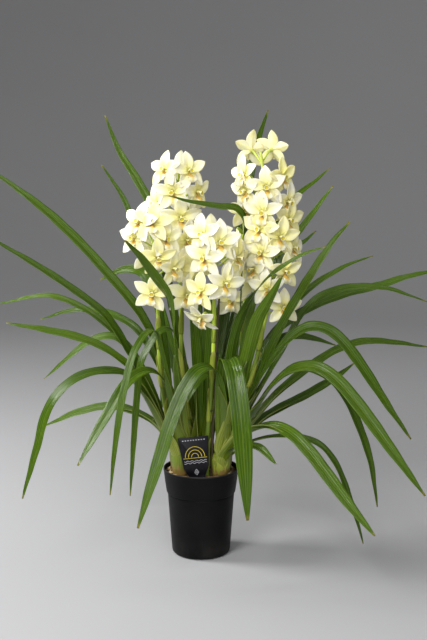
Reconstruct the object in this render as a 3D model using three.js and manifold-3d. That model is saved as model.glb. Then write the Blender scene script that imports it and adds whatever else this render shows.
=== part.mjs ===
// A cymbidium orchid growing in a black nursery pot, in millimetres, +Z up.
// The origin is the centre of the pot's flat underside. -Y is the front.
// Six leafy shoots, each a pseudobulb with its strap leaves, stand in the growing medium.
// Five flower stems rise between them. Two of the stems are tied to stakes.
// Blooms that touch each other are one mesh, and a bloom that stands free is its own.
import * as THREE from "three";
import { mergeVertices } from "three/addons/utils/BufferGeometryUtils.js";
import Module from "manifold-3d";

const wasm = await Module();
wasm.setup();

// Driving dimensions

const SEAT_GAP = 0.3;
const SLIVER = 0.1;
const POT = {
  height: 175,
  rimRadius: 75,
  collarDrop: 49,
  collarRadius: 68.6,
  bodyRadius: 67,
  footRadius: 58,
  footRound: 6,
  wall: 2,
  floor: 3,
  sides: 26,
  holes: 5,
  holeRadius: 4.5,
  holeCircle: 42,
};
const MEDIUM_TOP = 166;
const BULB = { foot: 150, footRadius: 13, belly: 196, bellyRadius: 17.5, top: 240, topRadius: 7, sides: 6 };
const LEAF = { root: 182, rootReach: 5, thickness: 1.8, stations: 7, rootFold: 46, tipFold: 13, turn: 40 };
const STEM = { foot: 140, footRadius: 5.2, tipRadius: 2.8, sides: 5, step: 80 };
const BLOOM = { reach: 42, hubBack: 4, hubRadius: 4.4, neck: 2.4, drop: 20 };
const STAKE = { foot: 45, radius: 2, sides: 8 };
const TIE = { height: 4, wall: 1.1, slack: 0.8 };
const LABEL = {
  width: 60,
  waist: 50,
  shoulder: 60,
  neck: 32,
  total: 128,
  thickness: 1,
  x: -1.5,
  y: -56,
  foot: 122,
  lean: -6,
};

// Each shoot stands at a place in the pot. Each leaf grows along a compass direction, in degrees from +X
// towards +Y, and passes through points given as [distance out from the bulb's axis, height]. Where a leaf
// bends round a neighbour, a third number is its shift to the left of that direction.
const SHOOTS = {
  front_left: {
    at: [-38, -27],
    leaves: [
      {
        towards: 192, width: 20,
        arch: [[90, 372], [130, 412], [168, 436], [210, 452], [260, 465], [331, 480]],
      },
      {
        towards: 203, width: 21,
        arch: [[105, 371], [150, 387], [200, 382], [240, 358], [268, 318], [287, 255], [318, 158]],
      },
      { towards: 226, width: 22, arch: [[40, 355], [85, 388], [135, 376], [195, 315], [260, 240]] },
      {
        towards: 241, width: 14,
        arch: [[60, 390], [100, 470], [160, 445], [200, 375], [230, 280], [248, 195]],
      },
      {
        towards: 240, width: 22, turn: -62, tipTurn: 30, stations: 9,
        arch: [
          [8, 297], [18, 366, 1], [30, 427, 4], [38, 477, 6], [50, 512, 8], [66, 537, 8],
          [98, 572, 3], [138, 609], [186, 642],
        ],
      },
      { towards: 178, width: 24, arch: [[18, 230], [36, 262], [56, 278]] },
      {
        towards: 215, width: 15, stations: 8,
        arch: [[8, 380], [20, 456], [47, 458], [74, 430], [90, 403], [98, 350], [118, 145]],
      },
    ],
  },
  front_right: {
    at: [38, -27],
    leaves: [
      {
        towards: 354, width: 26,
        arch: [
          [48, 290], [81, 373], [106, 438], [132, 490],
          [151, 524], [181, 576], [212, 626], [245, 667],
        ],
      },
      {
        towards: 330, width: 20, turn: -45, tipTurn: 40,
        arch: [[22, 389], [31, 441], [45, 483], [66, 521], [107, 566], [150, 596], [188, 616], [220, 626]],
      },
      {
        towards: 318, width: 26, turn: -40,
        arch: [[35, 290], [56, 365], [71, 418], [94, 486], [114, 517], [135, 547], [151, 573]],
      },
      {
        towards: 344, width: 26,
        arch: [
          [85, 370], [135, 443], [172, 468], [205, 467],
          [235, 447], [270, 405], [325, 327], [370, 266],
        ],
      },
      {
        towards: 332, width: 28,
        arch: [
          [85, 320], [145, 388], [190, 402], [221, 394],
          [253, 371], [286, 337], [345, 268], [415, 186],
        ],
      },
      {
        towards: 318, width: 27,
        arch: [
          [65, 258], [105, 280], [145, 287], [182, 277],
          [220, 252], [262, 215], [310, 172], [364, 129],
        ],
      },
      {
        towards: 228, width: 27, stations: 10,
        arch: [
          [10, 250, 14], [24, 338, 21], [44, 388, 20], [74, 389, 12], [101, 362, 5],
          [123, 326, 1], [144, 287], [168, 236], [196, 180], [226, 116],
        ],
      },
      {
        towards: 283, width: 36,
        arch: [[25, 300], [62, 408], [105, 402], [143, 335, 3], [164, 230, 7], [172, 130, 11]],
      },
      { towards: 302, width: 18, arch: [[50, 232], [90, 248], [140, 252], [190, 235]] },
    ],
  },
  left: {
    at: [-43, 20],
    leaves: [
      { towards: 172, width: 23, arch: [[60, 445], [150, 565], [260, 675], [390, 770]] },
      { towards: 186, width: 21, arch: [[100, 405], [145, 480], [205, 530], [270, 575], [365, 635]] },
      { towards: 163, width: 15, arch: [[100, 395], [160, 455], [210, 485], [280, 505], [410, 480]] },
      { towards: 176, width: 18, arch: [[75, 370], [122, 430], [158, 432], [189, 416], [273, 345]] },
      { towards: 166, width: 20, arch: [[45, 245], [90, 275], [145, 285], [210, 270], [290, 235]] },
      { towards: 156, width: 16, arch: [[60, 565], [105, 670], [125, 710], [170, 770]] },
    ],
  },
  right: {
    at: [43, 20],
    leaves: [
      { towards: 34, width: 16, arch: [[75, 500], [138, 658], [180, 706], [228, 735], [270, 763]] },
      {
        towards: 10, width: 22,
        arch: [[95, 425], [155, 475], [240, 510], [325, 530], [375, 545], [450, 560]],
      },
      {
        towards: 359, width: 17,
        arch: [[60, 300], [113, 396], [157, 482], [194, 517], [250, 534], [318, 532], [401, 505]],
      },
      {
        towards: 20, width: 20,
        arch: [[70, 260], [125, 315], [210, 372], [255, 393], [310, 405], [380, 400], [465, 385]],
      },
      {
        towards: 346, width: 20,
        arch: [[60, 275], [110, 350], [155, 378], [195, 372], [235, 340], [290, 220], [312, 110]],
      },
      { towards: 32, width: 20, arch: [[90, 250], [135, 270], [210, 292], [285, 320], [335, 345]] },
      {
        towards: 18, width: 19, turn: 55,
        arch: [[50, 280], [72, 350], [94, 397], [122, 423], [160, 428], [200, 419], [244, 404]],
      },
      {
        towards: 22, width: 18,
        arch: [[40, 330], [92, 503], [113, 563], [135, 608], [168, 641], [201, 680], [241, 728]],
      },
      {
        towards: 14, width: 15,
        arch: [[50, 300], [98, 414], [139, 483], [181, 526], [233, 557], [276, 576], [315, 587]],
      },
      {
        towards: 346, width: 15,
        arch: [[57, 222], [107, 237], [157, 240], [197, 227], [227, 194], [262, 110], [286, 32]],
      },
      {
        towards: 180,
        width: 19,
        turn: -50,
        turnsAt: 0.66,
        turnsOver: 0.16,
        stations: 12,
        arch: [
          [-17, 330, 8], [-31, 450, 20], [-36, 560, 25], [-40, 630, 27], [-41, 668, 29], [-26, 689, 33],
          [2, 693, 42], [34, 698, 50], [66, 704, 56], [102, 714, 62],
        ],
      },
    ],
  },
  back: {
    at: [0, 46],
    leaves: [
      { towards: 156, width: 18, arch: [[135, 425], [180, 455], [235, 468], [300, 465], [380, 440]] },
      { towards: 146, width: 20, arch: [[75, 500], [120, 680], [155, 735], [205, 800], [240, 870]] },
      {
        towards: 58, width: 22, turn: 45,
        arch: [[70, 400], [118, 540], [152, 636], [184, 727], [213, 800], [268, 884]],
      },
      {
        towards: 150, width: 23, turn: -75,
        arch: [[70, 400], [110, 510], [140, 552], [182, 556], [246, 530]],
      },
      { towards: 97, width: 24, arch: [[60, 420], [120, 560], [190, 640], [270, 660]] },
      { towards: 74, width: 22, arch: [[80, 380], [160, 470], [240, 480], [310, 400], [345, 290]] },
      { towards: 108, width: 22, arch: [[70, 290], [140, 350], [210, 350], [270, 290], [310, 200]] },
      { towards: 50, width: 20, arch: [[90, 430], [170, 540], [260, 580], [348, 597], [398, 619]] },
    ],
  },
  centre: {
    at: [0, 0],
    leaves: [
      {
        towards: 223, width: 22,
        arch: [[-4, 290, 16], [-6, 342, 27], [4, 367, 31], [24, 368, 32], [46, 349, 32], [65, 322, 32]],
      },
      { towards: 135, width: 22, arch: [[6, 320], [16, 440], [30, 520]] },
      { towards: 60, width: 22, arch: [[10, 330], [28, 470], [54, 560]] },
    ],
  },
};

// Each flower stem runs through points [x, y, z]. Each bloom sits at a height on it, faces a compass
// direction and tilts up by some degrees. It may stand on another side of the stem than it faces, and may
// have a set roll. A bud is placed the same way.
const SPIKES = [
  {
    path: [[-22, 33, 230], [-38, 37, 360], [-40, 39, 500], [-45, 39, 640], [-43, 36, 765]],
    blooms: [
      { height: 758, faces: 240, tilt: 12 },
      { height: 756, faces: 304, tilt: 10 },
      { height: 757, faces: 94, tilt: 12 },
      { height: 697, faces: 214, tilt: 2, stands: 185 },
      { height: 724, faces: 258, tilt: -6 },
      { height: 720, faces: 324, tilt: 0 },
      { height: 678, faces: 276, tilt: -14 },
      { height: 629, faces: 290, tilt: -4 },
      { height: 684, faces: 62, tilt: 5 },
      { height: 576, faces: 270, tilt: -8 },
      { height: 522, faces: 284, tilt: -6 },
    ],
    buds: [],
  },
  {
    path: [[-51, -4, 230], [-70, -10, 300], [-80, -14, 380], [-83, -20, 510], [-90, -24, 655]],
    blooms: [
      { height: 660, faces: 236, tilt: 16 },
      { height: 660, faces: 274, tilt: 15 },
      { height: 636, faces: 112, tilt: 8 },
      { height: 635, faces: 234, tilt: -2, stands: 205 },
      { height: 634, faces: 308, tilt: 0 },
      { height: 606, faces: 286, tilt: -18 },
      { height: 597, faces: 112, tilt: 0 },
      { height: 580, faces: 322, tilt: -5 },
      { height: 536, faces: 262, tilt: -5, roll: -10 },
    ],
    buds: [],
  },
  {
    path: [[12, -38, 230], [20, -44, 330], [25, -48, 430], [27, -52, 540], [30, -54, 625]],
    blooms: [
      { height: 643, faces: 234, tilt: 10 },
      { height: 633, faces: 276, tilt: 2 },
      { height: 632, faces: 96, tilt: 14 },
      { height: 605, faces: 238, tilt: -5 },
      { height: 601, faces: 330, tilt: -3 },
      { height: 556, faces: 294, tilt: -8 },
      { height: 608, faces: 16, tilt: 4 },
      { height: 539, faces: 238, tilt: -4 },
      { height: 587, faces: 134, tilt: 0 },
      { height: 500, faces: 236, tilt: -44 },
    ],
    buds: [],
  },
  {
    path: [[51, -4, 230], [92, 4, 330], [122, 8, 450], [139, 10, 560], [128, 14, 700], [116, 18, 795]],
    blooms: [
      { height: 795, faces: 118, tilt: 12 },
      { height: 796, faces: 62, tilt: 14 },
      { height: 750, faces: 222, tilt: 8, stands: 198 },
      { height: 748, faces: 318, tilt: 4, stands: 320 },
      { height: 732, faces: 270, tilt: 0 },
      { height: 725, faces: 216, tilt: -4, stands: 200 },
      { height: 704, faces: 312, tilt: -6, stands: 350 },
      { height: 686, faces: 250, tilt: -5 },
      { height: 668, faces: 306, tilt: -2, stands: 345 },
      { height: 649, faces: 238, tilt: 4 },
      { height: 636, faces: 290, tilt: -4 },
      { height: 607, faces: 242, tilt: -4 },
      { height: 610, faces: 330, tilt: 0, stands: 0 },
      { height: 573, faces: 218, tilt: -6 },
      { height: 571, faces: 306, tilt: -8 },
      { height: 540, faces: 262, tilt: -6 },
      { height: 500, faces: 285, tilt: -4, stands: 350, roll: 0 },
    ],
    buds: [],
  },
  {
    path: [[22, 33, 230], [52, 60, 320], [77, 76, 425], [88, 84, 490], [90, 84, 560], [84, 84, 700]],
    blooms: [
      { height: 682, faces: 275, tilt: 4 },
      { height: 584, faces: 264, tilt: 0 },
      { height: 548, faces: 290, tilt: -4, stands: 285 },
      { height: 571, faces: 120, tilt: 6 },
      { height: 508, faces: 250, tilt: -8, stands: 195 },
    ],
    buds: [
      { height: 634, faces: 236, tilt: 45 },
      { height: 628, faces: 262, tilt: 30 },
    ],
  },
];

// Each stake stands beside one stem and is tied to it at the given heights.
const STAKES = [
  { spike: 0, beside: 60, top: 450, ties: [388] },
  { spike: 2, beside: 10, top: 520, ties: [300, 414] },
];

// Solids

const UP = new THREE.Vector3(0, 0, 1);
const radians = THREE.MathUtils.degToRad;

function solidOf(geometry) {
  const bare = geometry.clone();
  bare.deleteAttribute("normal");
  bare.deleteAttribute("uv");
  const merged = mergeVertices(bare, 1e-4);
  return new wasm.Manifold(
    new wasm.Mesh({
      numProp: 3,
      vertProperties: new Float32Array(merged.attributes.position.array),
      triVerts: new Uint32Array(merged.index.array),
    }),
  );
}

function geometryOf(solid) {
  const mesh = solid.getMesh();
  const geometry = new THREE.BufferGeometry();
  geometry.setAttribute("position", new THREE.BufferAttribute(new Float32Array(mesh.vertProperties), 3));
  geometry.setIndex(new THREE.BufferAttribute(new Uint32Array(mesh.triVerts), 1));
  const flat = geometry.toNonIndexed();
  flat.computeVertexNormals();
  return flat;
}

const fuse = (solids) => solids.reduce((whole, solid) => whole.add(solid));

// Each separate body of a solid. A hollow that is sealed inside one counts as filled.
const bodiesOf = (solid) => solid.decompose().filter((body) => body.volume() > 1);

const largestOf = (solid) => bodiesOf(solid).reduce((a, b) => (b.volume() > a.volume() ? b : a));

// A closed skin over rings that have the same number of points. A last ring of one point is a tip.
// Each face strip is split from its even points, so that both sides of a blade are split alike.
function skin(rings) {
  const points = rings.flat();
  const count = rings[0].length;
  const index = [];
  const quad = (a, b, c, d) => index.push(a, b, c, a, c, d);
  for (let r = 0; r + 1 < rings.length; r++) {
    for (let k = 0; k < count; k++) {
      const next = (k + 1) % count;
      const [a, b] = [r * count + k, r * count + next];
      if (rings[r + 1].length === 1) index.push(a, b, (r + 1) * count);
      else if (k % 2) quad(b, b + count, a + count, a);
      else quad(a, b, b + count, a + count);
    }
  }
  for (let k = 1; k + 1 < count; k++) {
    index.push(0, k + 1, k);
    const last = (rings.length - 1) * count;
    if (rings.at(-1).length > 1) index.push(last, last + k, last + k + 1);
  }
  const geometry = new THREE.BufferGeometry().setFromPoints(points);
  geometry.setIndex(index);
  const solid = solidOf(geometry);
  if (solid.volume() >= 0) return solid;
  geometry.setIndex(index.toReversed());
  return solidOf(geometry);
}

// The four points of a blade's section: keel below, right margin, keel above, left margin.
function bladeRing({ at, side, normal, width, thickness, fold }) {
  const out = side.clone().multiplyScalar((width / 2) * Math.cos(radians(fold)));
  const lift = normal.clone().multiplyScalar((width / 2) * Math.sin(radians(fold)));
  const half = normal.clone().multiplyScalar(thickness / 2);
  return [
    at.clone().sub(half),
    at.clone().add(lift).add(out),
    at.clone().add(half),
    at.clone().add(lift).sub(out),
  ];
}

function roundRing(at, along, radius, sides) {
  const side = new THREE.Vector3(-along.y, along.x, 0);
  if (side.lengthSq() < 1e-6) side.set(1, 0, 0);
  side.normalize();
  const other = new THREE.Vector3().crossVectors(along, side).normalize();
  return Array.from({ length: sides }, (_, k) => {
    const angle = (2 * Math.PI * k) / sides;
    return at
      .clone()
      .addScaledVector(side, radius * Math.cos(angle))
      .addScaledVector(other, radius * Math.sin(angle));
  });
}

function lathe(profile, sides) {
  const points = profile.map(([r, z]) => new THREE.Vector2(r, z));
  return solidOf(new THREE.LatheGeometry(points, sides).rotateX(Math.PI / 2));
}

const rod = (radius, low, high, x, y, sides) =>
  solidOf(
    new THREE.CylinderGeometry(radius, radius, high - low, sides)
      .rotateX(Math.PI / 2)
      .translate(x, y, (low + high) / 2),
  );

// Pot and growing medium

// The pot's inside, taken in by a gap: from the floor's edge up to the rim.
const potInside = (gap) => [
  [POT.footRadius - POT.wall - 1 - gap, POT.floor + gap],
  [POT.bodyRadius - POT.wall - gap, POT.height - POT.collarDrop - 2],
  [POT.collarRadius - POT.wall - gap, POT.height - POT.collarDrop + 1],
  [POT.rimRadius - POT.wall - gap, POT.height],
];

function potSolid() {
  const collar = POT.height - POT.collarDrop;
  const shell = lathe(
    [
      [0, 0],
      [POT.footRadius - POT.footRound * 0.7, 0],
      [POT.footRadius, POT.footRound],
      [POT.bodyRadius, collar],
      [POT.collarRadius, collar],
      [POT.rimRadius, POT.height - 2],
      [POT.rimRadius - 0.5, POT.height],
      ...potInside(0).toReversed(),
      [0, POT.floor],
    ],
    POT.sides,
  );
  const holes = Array.from({ length: POT.holes }, (_, k) => {
    const angle = (2 * Math.PI * (k + 0.5)) / POT.holes;
    const [x, y] = [POT.holeCircle * Math.cos(angle), POT.holeCircle * Math.sin(angle)];
    return rod(POT.holeRadius, -1, POT.floor + 1, x, y, 6);
  });
  return holes.reduce((pot, hole) => pot.subtract(hole), shell);
}

function mediumSolid(wells) {
  const inside = potInside(SEAT_GAP);
  const [rimR, rimZ] = inside.at(-1);
  const [collarR, collarZ] = inside.at(-2);
  const edge = collarR + ((rimR - collarR) * (MEDIUM_TOP - collarZ)) / (rimZ - collarZ);
  const profile = [[0, POT.floor + SEAT_GAP], ...inside.slice(0, -1), [edge, MEDIUM_TOP], [0, MEDIUM_TOP]];
  const body = lathe(profile, POT.sides);
  return wells.reduce((medium, well) => medium.subtract(well), body);
}

// Leafy shoots

function bulbSolid([x, y]) {
  const { foot, footRadius, belly, bellyRadius, top, topRadius, sides } = BULB;
  return lathe(
    [
      [0, foot],
      [footRadius, foot],
      [footRadius, MEDIUM_TOP + 2],
      [bellyRadius, belly - 10],
      [bellyRadius, belly + 8],
      [topRadius, top],
      [0, top],
    ],
    sides,
  ).translate([x, y, 0]);
}

// A leaf's width along its length: narrowed where it clasps the bulb, full, then a long tapering tip.
function leafWidth(share, width) {
  const root = 0.62 + 0.38 * THREE.MathUtils.smoothstep(share, 0, 0.3);
  const tip = Math.sqrt(Math.max(0, 1 - THREE.MathUtils.smoothstep(share, 0.7, 1.03)));
  return width * root * tip;
}

function leafCurve([x, y], leaf) {
  const out = new THREE.Vector3(Math.cos(radians(leaf.towards)), Math.sin(radians(leaf.towards)), 0);
  const left = new THREE.Vector3(-out.y, out.x, 0);
  const place = ([reach, height, shift = 0]) =>
    new THREE.Vector3(x, y, height).addScaledVector(out, reach).addScaledVector(left, shift);
  const curve = new THREE.CatmullRomCurve3([[LEAF.rootReach, LEAF.root], ...leaf.arch].map(place));
  return { out, curve };
}

// A blade lies level across at its root, and further out it turns to show its face to the front.
// Its sections stand closer together where its points do, which is round the bends.
function leafSolid(at, leaf) {
  const { width, turn, turnsAt = 0.1, turnsOver = 0.4, tipTurn, stations = LEAF.stations } = leaf;
  const { out, curve } = leafCurve(at, leaf);
  const most = turn ?? LEAF.turn * out.x;
  const twist = (tipTurn ?? most) - most;
  const lengths = curve.getLengths(200);
  const rings = Array.from({ length: stations }, (_, k) => {
    const t = (k / stations + curve.getUtoTmapping(k / stations)) / 2;
    const share = lengths[Math.round(200 * t)] / lengths[200];
    const along = curve.getTangent(t);
    const turned =
      most * THREE.MathUtils.smoothstep(share, turnsAt, turnsAt + turnsOver) +
      twist * THREE.MathUtils.smoothstep(share, 0.5, 0.8);
    const side = new THREE.Vector3(-out.y, out.x, 0).applyAxisAngle(along, radians(turned));
    return bladeRing({
      at: curve.getPoint(t),
      side,
      normal: new THREE.Vector3().crossVectors(along, side),
      width: leafWidth(share, width),
      thickness: LEAF.thickness,
      fold: THREE.MathUtils.lerp(LEAF.rootFold, LEAF.tipFold, THREE.MathUtils.smoothstep(share, 0, 0.45)),
    });
  });
  return skin([...rings, [curve.getPoint(1)]]);
}

const shootSolid = ({ at, leaves }) => fuse([bulbSolid(at), ...leaves.map((leaf) => leafSolid(at, leaf))]);

// Flower stems

// A wave that differs from one repeat to the next, between -1 and 1.
const wave = (index, turn) => Math.sin(index * 12.9898 + turn * 4.1414);

function spikeCurve(spike) {
  const [x, y] = spike.path[0];
  const points = [[x, y, STEM.foot], [x, y, MEDIUM_TOP + 12], ...spike.path];
  return new THREE.CatmullRomCurve3(points.map((p) => new THREE.Vector3(...p)));
}

// The stem's middle at a height, found by halving, because every stem only rises.
function stemPoint(curve, height) {
  let [low, high] = [0, 1];
  for (let k = 0; k < 40; k++) {
    const middle = (low + high) / 2;
    if (curve.getPoint(middle).z < height) low = middle;
    else high = middle;
  }
  return curve.getPoint(low);
}

const facing = (azimuth, tilt) =>
  new THREE.Vector3(
    Math.cos(radians(azimuth)) * Math.cos(radians(tilt)),
    Math.sin(radians(azimuth)) * Math.cos(radians(tilt)),
    Math.sin(radians(tilt)),
  );

// Where a bloom's hub is, and its own axes: across, towards its top sepal, and the way it faces.
function bloomPose(curve, bloom, index) {
  const forward = facing(bloom.faces + 5 * wave(index, 1), bloom.tilt + 4 * wave(index, 2));
  const across = new THREE.Vector3().crossVectors(UP, forward).normalize();
  across.applyAxisAngle(forward, radians(bloom.roll ?? 9 * wave(index, 3)));
  const top = new THREE.Vector3().crossVectors(forward, across);
  const stands = bloom.stands ?? THREE.MathUtils.radToDeg(Math.atan2(forward.y, forward.x));
  const hub = stemPoint(curve, bloom.height)
    .addScaledVector(facing(stands, 0), BLOOM.reach * 0.6)
    .addScaledVector(forward, BLOOM.reach * 0.4);
  hub.z = bloom.height + BLOOM.reach * 0.4 * forward.z;
  return { hub, across, top, forward, size: 1 + 0.05 * wave(index, 4) };
}

// A flower's short stalk, from the middle of the stem to just behind the hub.
function stalkSolid(curve, pose, bloom) {
  const from = stemPoint(curve, bloom.height - BLOOM.drop);
  const back = pose.hub.clone().addScaledVector(pose.forward, -(BLOOM.hubBack * pose.size + SEAT_GAP));
  const bend = back.clone().addScaledVector(pose.forward, -9);
  bend.z -= 1.5;
  const rise = bend.clone().sub(from).normalize();
  return skin([
    roundRing(from, rise, 1.7, 3),
    roundRing(bend, rise.clone().add(pose.forward).normalize(), 2, 3),
    roundRing(back, pose.forward, BLOOM.neck, 3),
  ]);
}

function budSolid(curve, bud) {
  const forward = facing(bud.faces, bud.tilt);
  const from = stemPoint(curve, bud.height - 14);
  const tip = from.clone().addScaledVector(forward, 40);
  const ring = (share, radius) => roundRing(from.clone().lerp(tip, share), forward, radius, 6);
  return skin([ring(0, 1.4), ring(0.4, 1.8), ring(0.62, 5.2), ring(0.85, 4.4), [tip]]);
}

const stemRadius = (curve, height) =>
  THREE.MathUtils.mapLinear(height, STEM.foot, curve.getPoint(1).z, STEM.footRadius, STEM.tipRadius);

function stemSolid(curve) {
  const count = Math.ceil(curve.getLength() / STEM.step);
  const rings = Array.from({ length: count + 1 }, (_, k) => {
    const at = curve.getPointAt(k / count);
    return roundRing(at, curve.getTangentAt(k / count), stemRadius(curve, at.z), STEM.sides);
  });
  return skin(rings);
}

// Blooms

// The tepals, clockwise from the flower's top. Each one leans forward by its cup.
const TEPALS = [
  { turn: 0, length: 38, width: 23, cup: 0.34 },
  { turn: 68, length: 37, width: 21, cup: 0.28 },
  { turn: 138, length: 38, width: 22, cup: 0.17 },
  { turn: 222, length: 38, width: 22, cup: 0.17 },
  { turn: 292, length: 37, width: 21, cup: 0.28 },
];

// The lip's sections: a trough beside the column, and a tongue that curls down.
const LIP = [
  { at: [0, -7, 8.8], rise: 44, width: 18, thickness: 1.6, fold: 42 },
  { at: [0, -15, 15], rise: 98, width: 17, thickness: 1.4, fold: 8 },
];
const LIP_TIP = [0, -22, 12];

const spoke = (turn, reach, z) =>
  new THREE.Vector3(Math.sin(radians(turn)) * reach, Math.cos(radians(turn)) * reach, z);

// One tepal beyond its root: two sections of [left margin, right margin, keel behind], and a tip.
function tepalRings({ turn, length, width, cup }) {
  const side = spoke(turn + 90, 1, 0);
  const middle = (share) => spoke(turn, length * share, cup * length * share * (1.3 - share));
  const section = (share, breadth, thickness) => {
    const along = middle(share + 0.02).sub(middle(share - 0.02)).normalize();
    const normal = new THREE.Vector3().crossVectors(side, along);
    const half = (width * breadth) / 2;
    const place = (across, behind) =>
      middle(share).addScaledVector(side, across).addScaledVector(normal, -behind);
    return [place(-half, 0), place(half, 0), place(0, thickness)];
  };
  return [section(0.4, 0.9, 2), section(0.76, 0.88, 1.5), [middle(1)]];
}

// The lip beyond its root: sections of [left margin, keel above, right margin, keel below], and a tip.
function lipRings() {
  const side = new THREE.Vector3(-1, 0, 0);
  const rings = LIP.map(({ at, rise, width, thickness, fold }) => {
    const normal = new THREE.Vector3(0, Math.cos(radians(rise)), Math.sin(radians(rise)));
    return bladeRing({ at: new THREE.Vector3(...at), side, normal, width, thickness, fold }).toReversed();
  });
  return [...rings, [new THREE.Vector3(...LIP_TIP)]];
}

// A whole flower as one closed skin. Neighbouring tepals share the point where they meet, the column in
// front has a corner for each such point, and the lip grows from the lowest one.
function bloomShape() {
  const points = [];
  const index = [];
  const put = (point) => points.push(point) - 1;
  const quad = (a, b, c, d) => index.push(a, b, c, a, c, d);
  const grow = (root, sections) => {
    let ring = root;
    for (const next of sections.map((section) => section.map(put))) {
      ring.forEach((a, k) => {
        const after = (k + 1) % ring.length;
        const b = ring[after];
        if (next.length === 1) index.push(a, b, next[0]);
        else if (k % 2) quad(b, next[after], next[k], a);
        else quad(a, b, next[after], next[k]);
      });
      ring = next;
    }
  };
  const count = TEPALS.length;
  const meets = TEPALS.map(({ turn }, i) => (turn + (TEPALS[i + 1]?.turn ?? 360)) / 2);
  const corners = (reach, z) => meets.map((turn) => put(spoke(turn, reach, z)));
  const joint = corners(BLOOM.hubRadius, 0);
  const foot = corners(2.3, 2);
  const tip = corners(2.6, 14);
  const neck = put(new THREE.Vector3(0, 0, -BLOOM.hubBack));
  const [lipLeft, lipRight] = [TEPALS[2], TEPALS[3]].map(({ turn }) => put(spoke(turn, 3.4, 1)));
  TEPALS.forEach((tepal, i) => {
    const left = (i + count - 1) % count;
    const back = put(spoke(tepal.turn, 4, -1.6));
    grow([joint[left], joint[i], back], tepalRings(tepal));
    index.push(back, joint[i], neck, back, neck, joint[left]);
    quad(foot[i], foot[left], tip[left], tip[i]);
    if (i > 1) index.push(tip[0], tip[i], tip[i - 1]);
    if (i === 2) {
      index.push(joint[1], foot[1], lipLeft, foot[1], foot[2], lipLeft, joint[1], lipLeft, joint[2]);
    } else if (i === 3) {
      index.push(joint[2], lipRight, joint[3], lipRight, foot[2], foot[3], lipRight, foot[3], joint[3]);
    } else {
      quad(joint[left], foot[left], foot[i], joint[i]);
    }
  });
  grow([lipLeft, foot[2], lipRight, joint[2]], lipRings());
  const geometry = new THREE.BufferGeometry().setFromPoints(points);
  geometry.setIndex(index);
  return solidOf(geometry);
}

function placeBloom(shape, pose) {
  const turn = new THREE.Matrix4().makeBasis(pose.across, pose.top, pose.forward);
  const whole = turn.scale(new THREE.Vector3(pose.size, pose.size, pose.size)).setPosition(pose.hub);
  return shape.transform(whole.elements);
}

// Joins the blooms that touch. Each body is named after the lowest-numbered bloom in it.
function bloomBodies(placed, spikeName) {
  const bodies = bodiesOf(fuse(placed));
  const nearest = (body) => placed.findIndex((bloom) => bloom.intersect(body).volume() > 1);
  const count = (body) => placed.filter((bloom) => bloom.intersect(body).volume() > 1).length;
  return bodies
    .map((body) => ({ body, first: nearest(body) + 1, blooms: count(body) }))
    .sort((a, b) => a.first - b.first)
    .map(({ body, first, blooms }) => {
      const word = blooms > 1 ? "blooms" : "bloom";
      return [`${spikeName}_${word}_${String(first).padStart(2, "0")}`, body];
    });
}

// Stakes, ties and label

function stakeLine(curve, { beside, top, ties }) {
  const clear = (height) =>
    facing(beside, 0).multiplyScalar(stemRadius(curve, height) + STAKE.radius + TIE.slack);
  const upper = stemPoint(curve, ties.at(-1)).add(clear(ties.at(-1)));
  const lower = stemPoint(curve, MEDIUM_TOP).add(clear(MEDIUM_TOP - 80));
  const along = upper.clone().sub(lower).normalize();
  const at = (height) => lower.clone().addScaledVector(along, (height - lower.z) / along.z);
  return { at, along, foot: at(STAKE.foot), head: at(top) };
}

const stakeSolid = ({ foot, head, along }, radius) =>
  skin([roundRing(foot, along, radius, STAKE.sides), roundRing(head, along, radius, STAKE.sides)]);

// A soft band round a stem and its stake: two straight runs and two half rounds.
function tieSolid(curve, line, height) {
  const stem = stemPoint(curve, height);
  const stake = line.at(height);
  const gap = Math.hypot(stake.x - stem.x, stake.y - stem.y);
  const outline = (inner) => {
    const shape = new THREE.Path();
    const [stemR, stakeR] = [stemRadius(curve, height) + inner, STAKE.radius + inner];
    shape.absarc(0, 0, stemR, Math.PI / 2, (3 * Math.PI) / 2);
    shape.absarc(gap, 0, stakeR, -Math.PI / 2, Math.PI / 2);
    shape.closePath();
    return shape.getPoints(2);
  };
  const shape = new THREE.Shape(outline(TIE.slack + TIE.wall));
  shape.holes.push(new THREE.Path(outline(TIE.slack)));
  const band = new THREE.ExtrudeGeometry(shape, { depth: TIE.height, bevelEnabled: false, steps: 1 });
  band.rotateZ(Math.atan2(stake.y - stem.y, stake.x - stem.x));
  return solidOf(band.translate(stem.x, stem.y, height - TIE.height / 2));
}

// A plain tag: a broad head that narrows downwards, shoulders, and a strip that stands in the medium.
function labelSolid(grow) {
  const { width, waist, shoulder, neck, total, thickness, x, y, foot, lean } = LABEL;
  const [half, narrow, strip, head] = [width / 2, waist / 2, neck / 2 + grow, total - shoulder];
  const outline = new THREE.Shape();
  outline.moveTo(-strip, -grow);
  outline.lineTo(strip, -grow);
  outline.lineTo(strip, head - 18);
  outline.lineTo(narrow, head);
  outline.lineTo(half, total - 3);
  outline.lineTo(half - 3, total);
  outline.lineTo(3 - half, total);
  outline.lineTo(-half, total - 3);
  outline.lineTo(-narrow, head);
  outline.lineTo(-strip, head - 18);
  outline.closePath();
  const tag = new THREE.ExtrudeGeometry(outline, { depth: thickness + 2 * grow, bevelEnabled: false });
  tag.translate(0, 0, -thickness / 2 - grow).rotateX(Math.PI / 2);
  return solidOf(tag.rotateY(radians(lean)).rotateX(radians(-3)).translate(x, y, foot));
}

// Assembly

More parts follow.
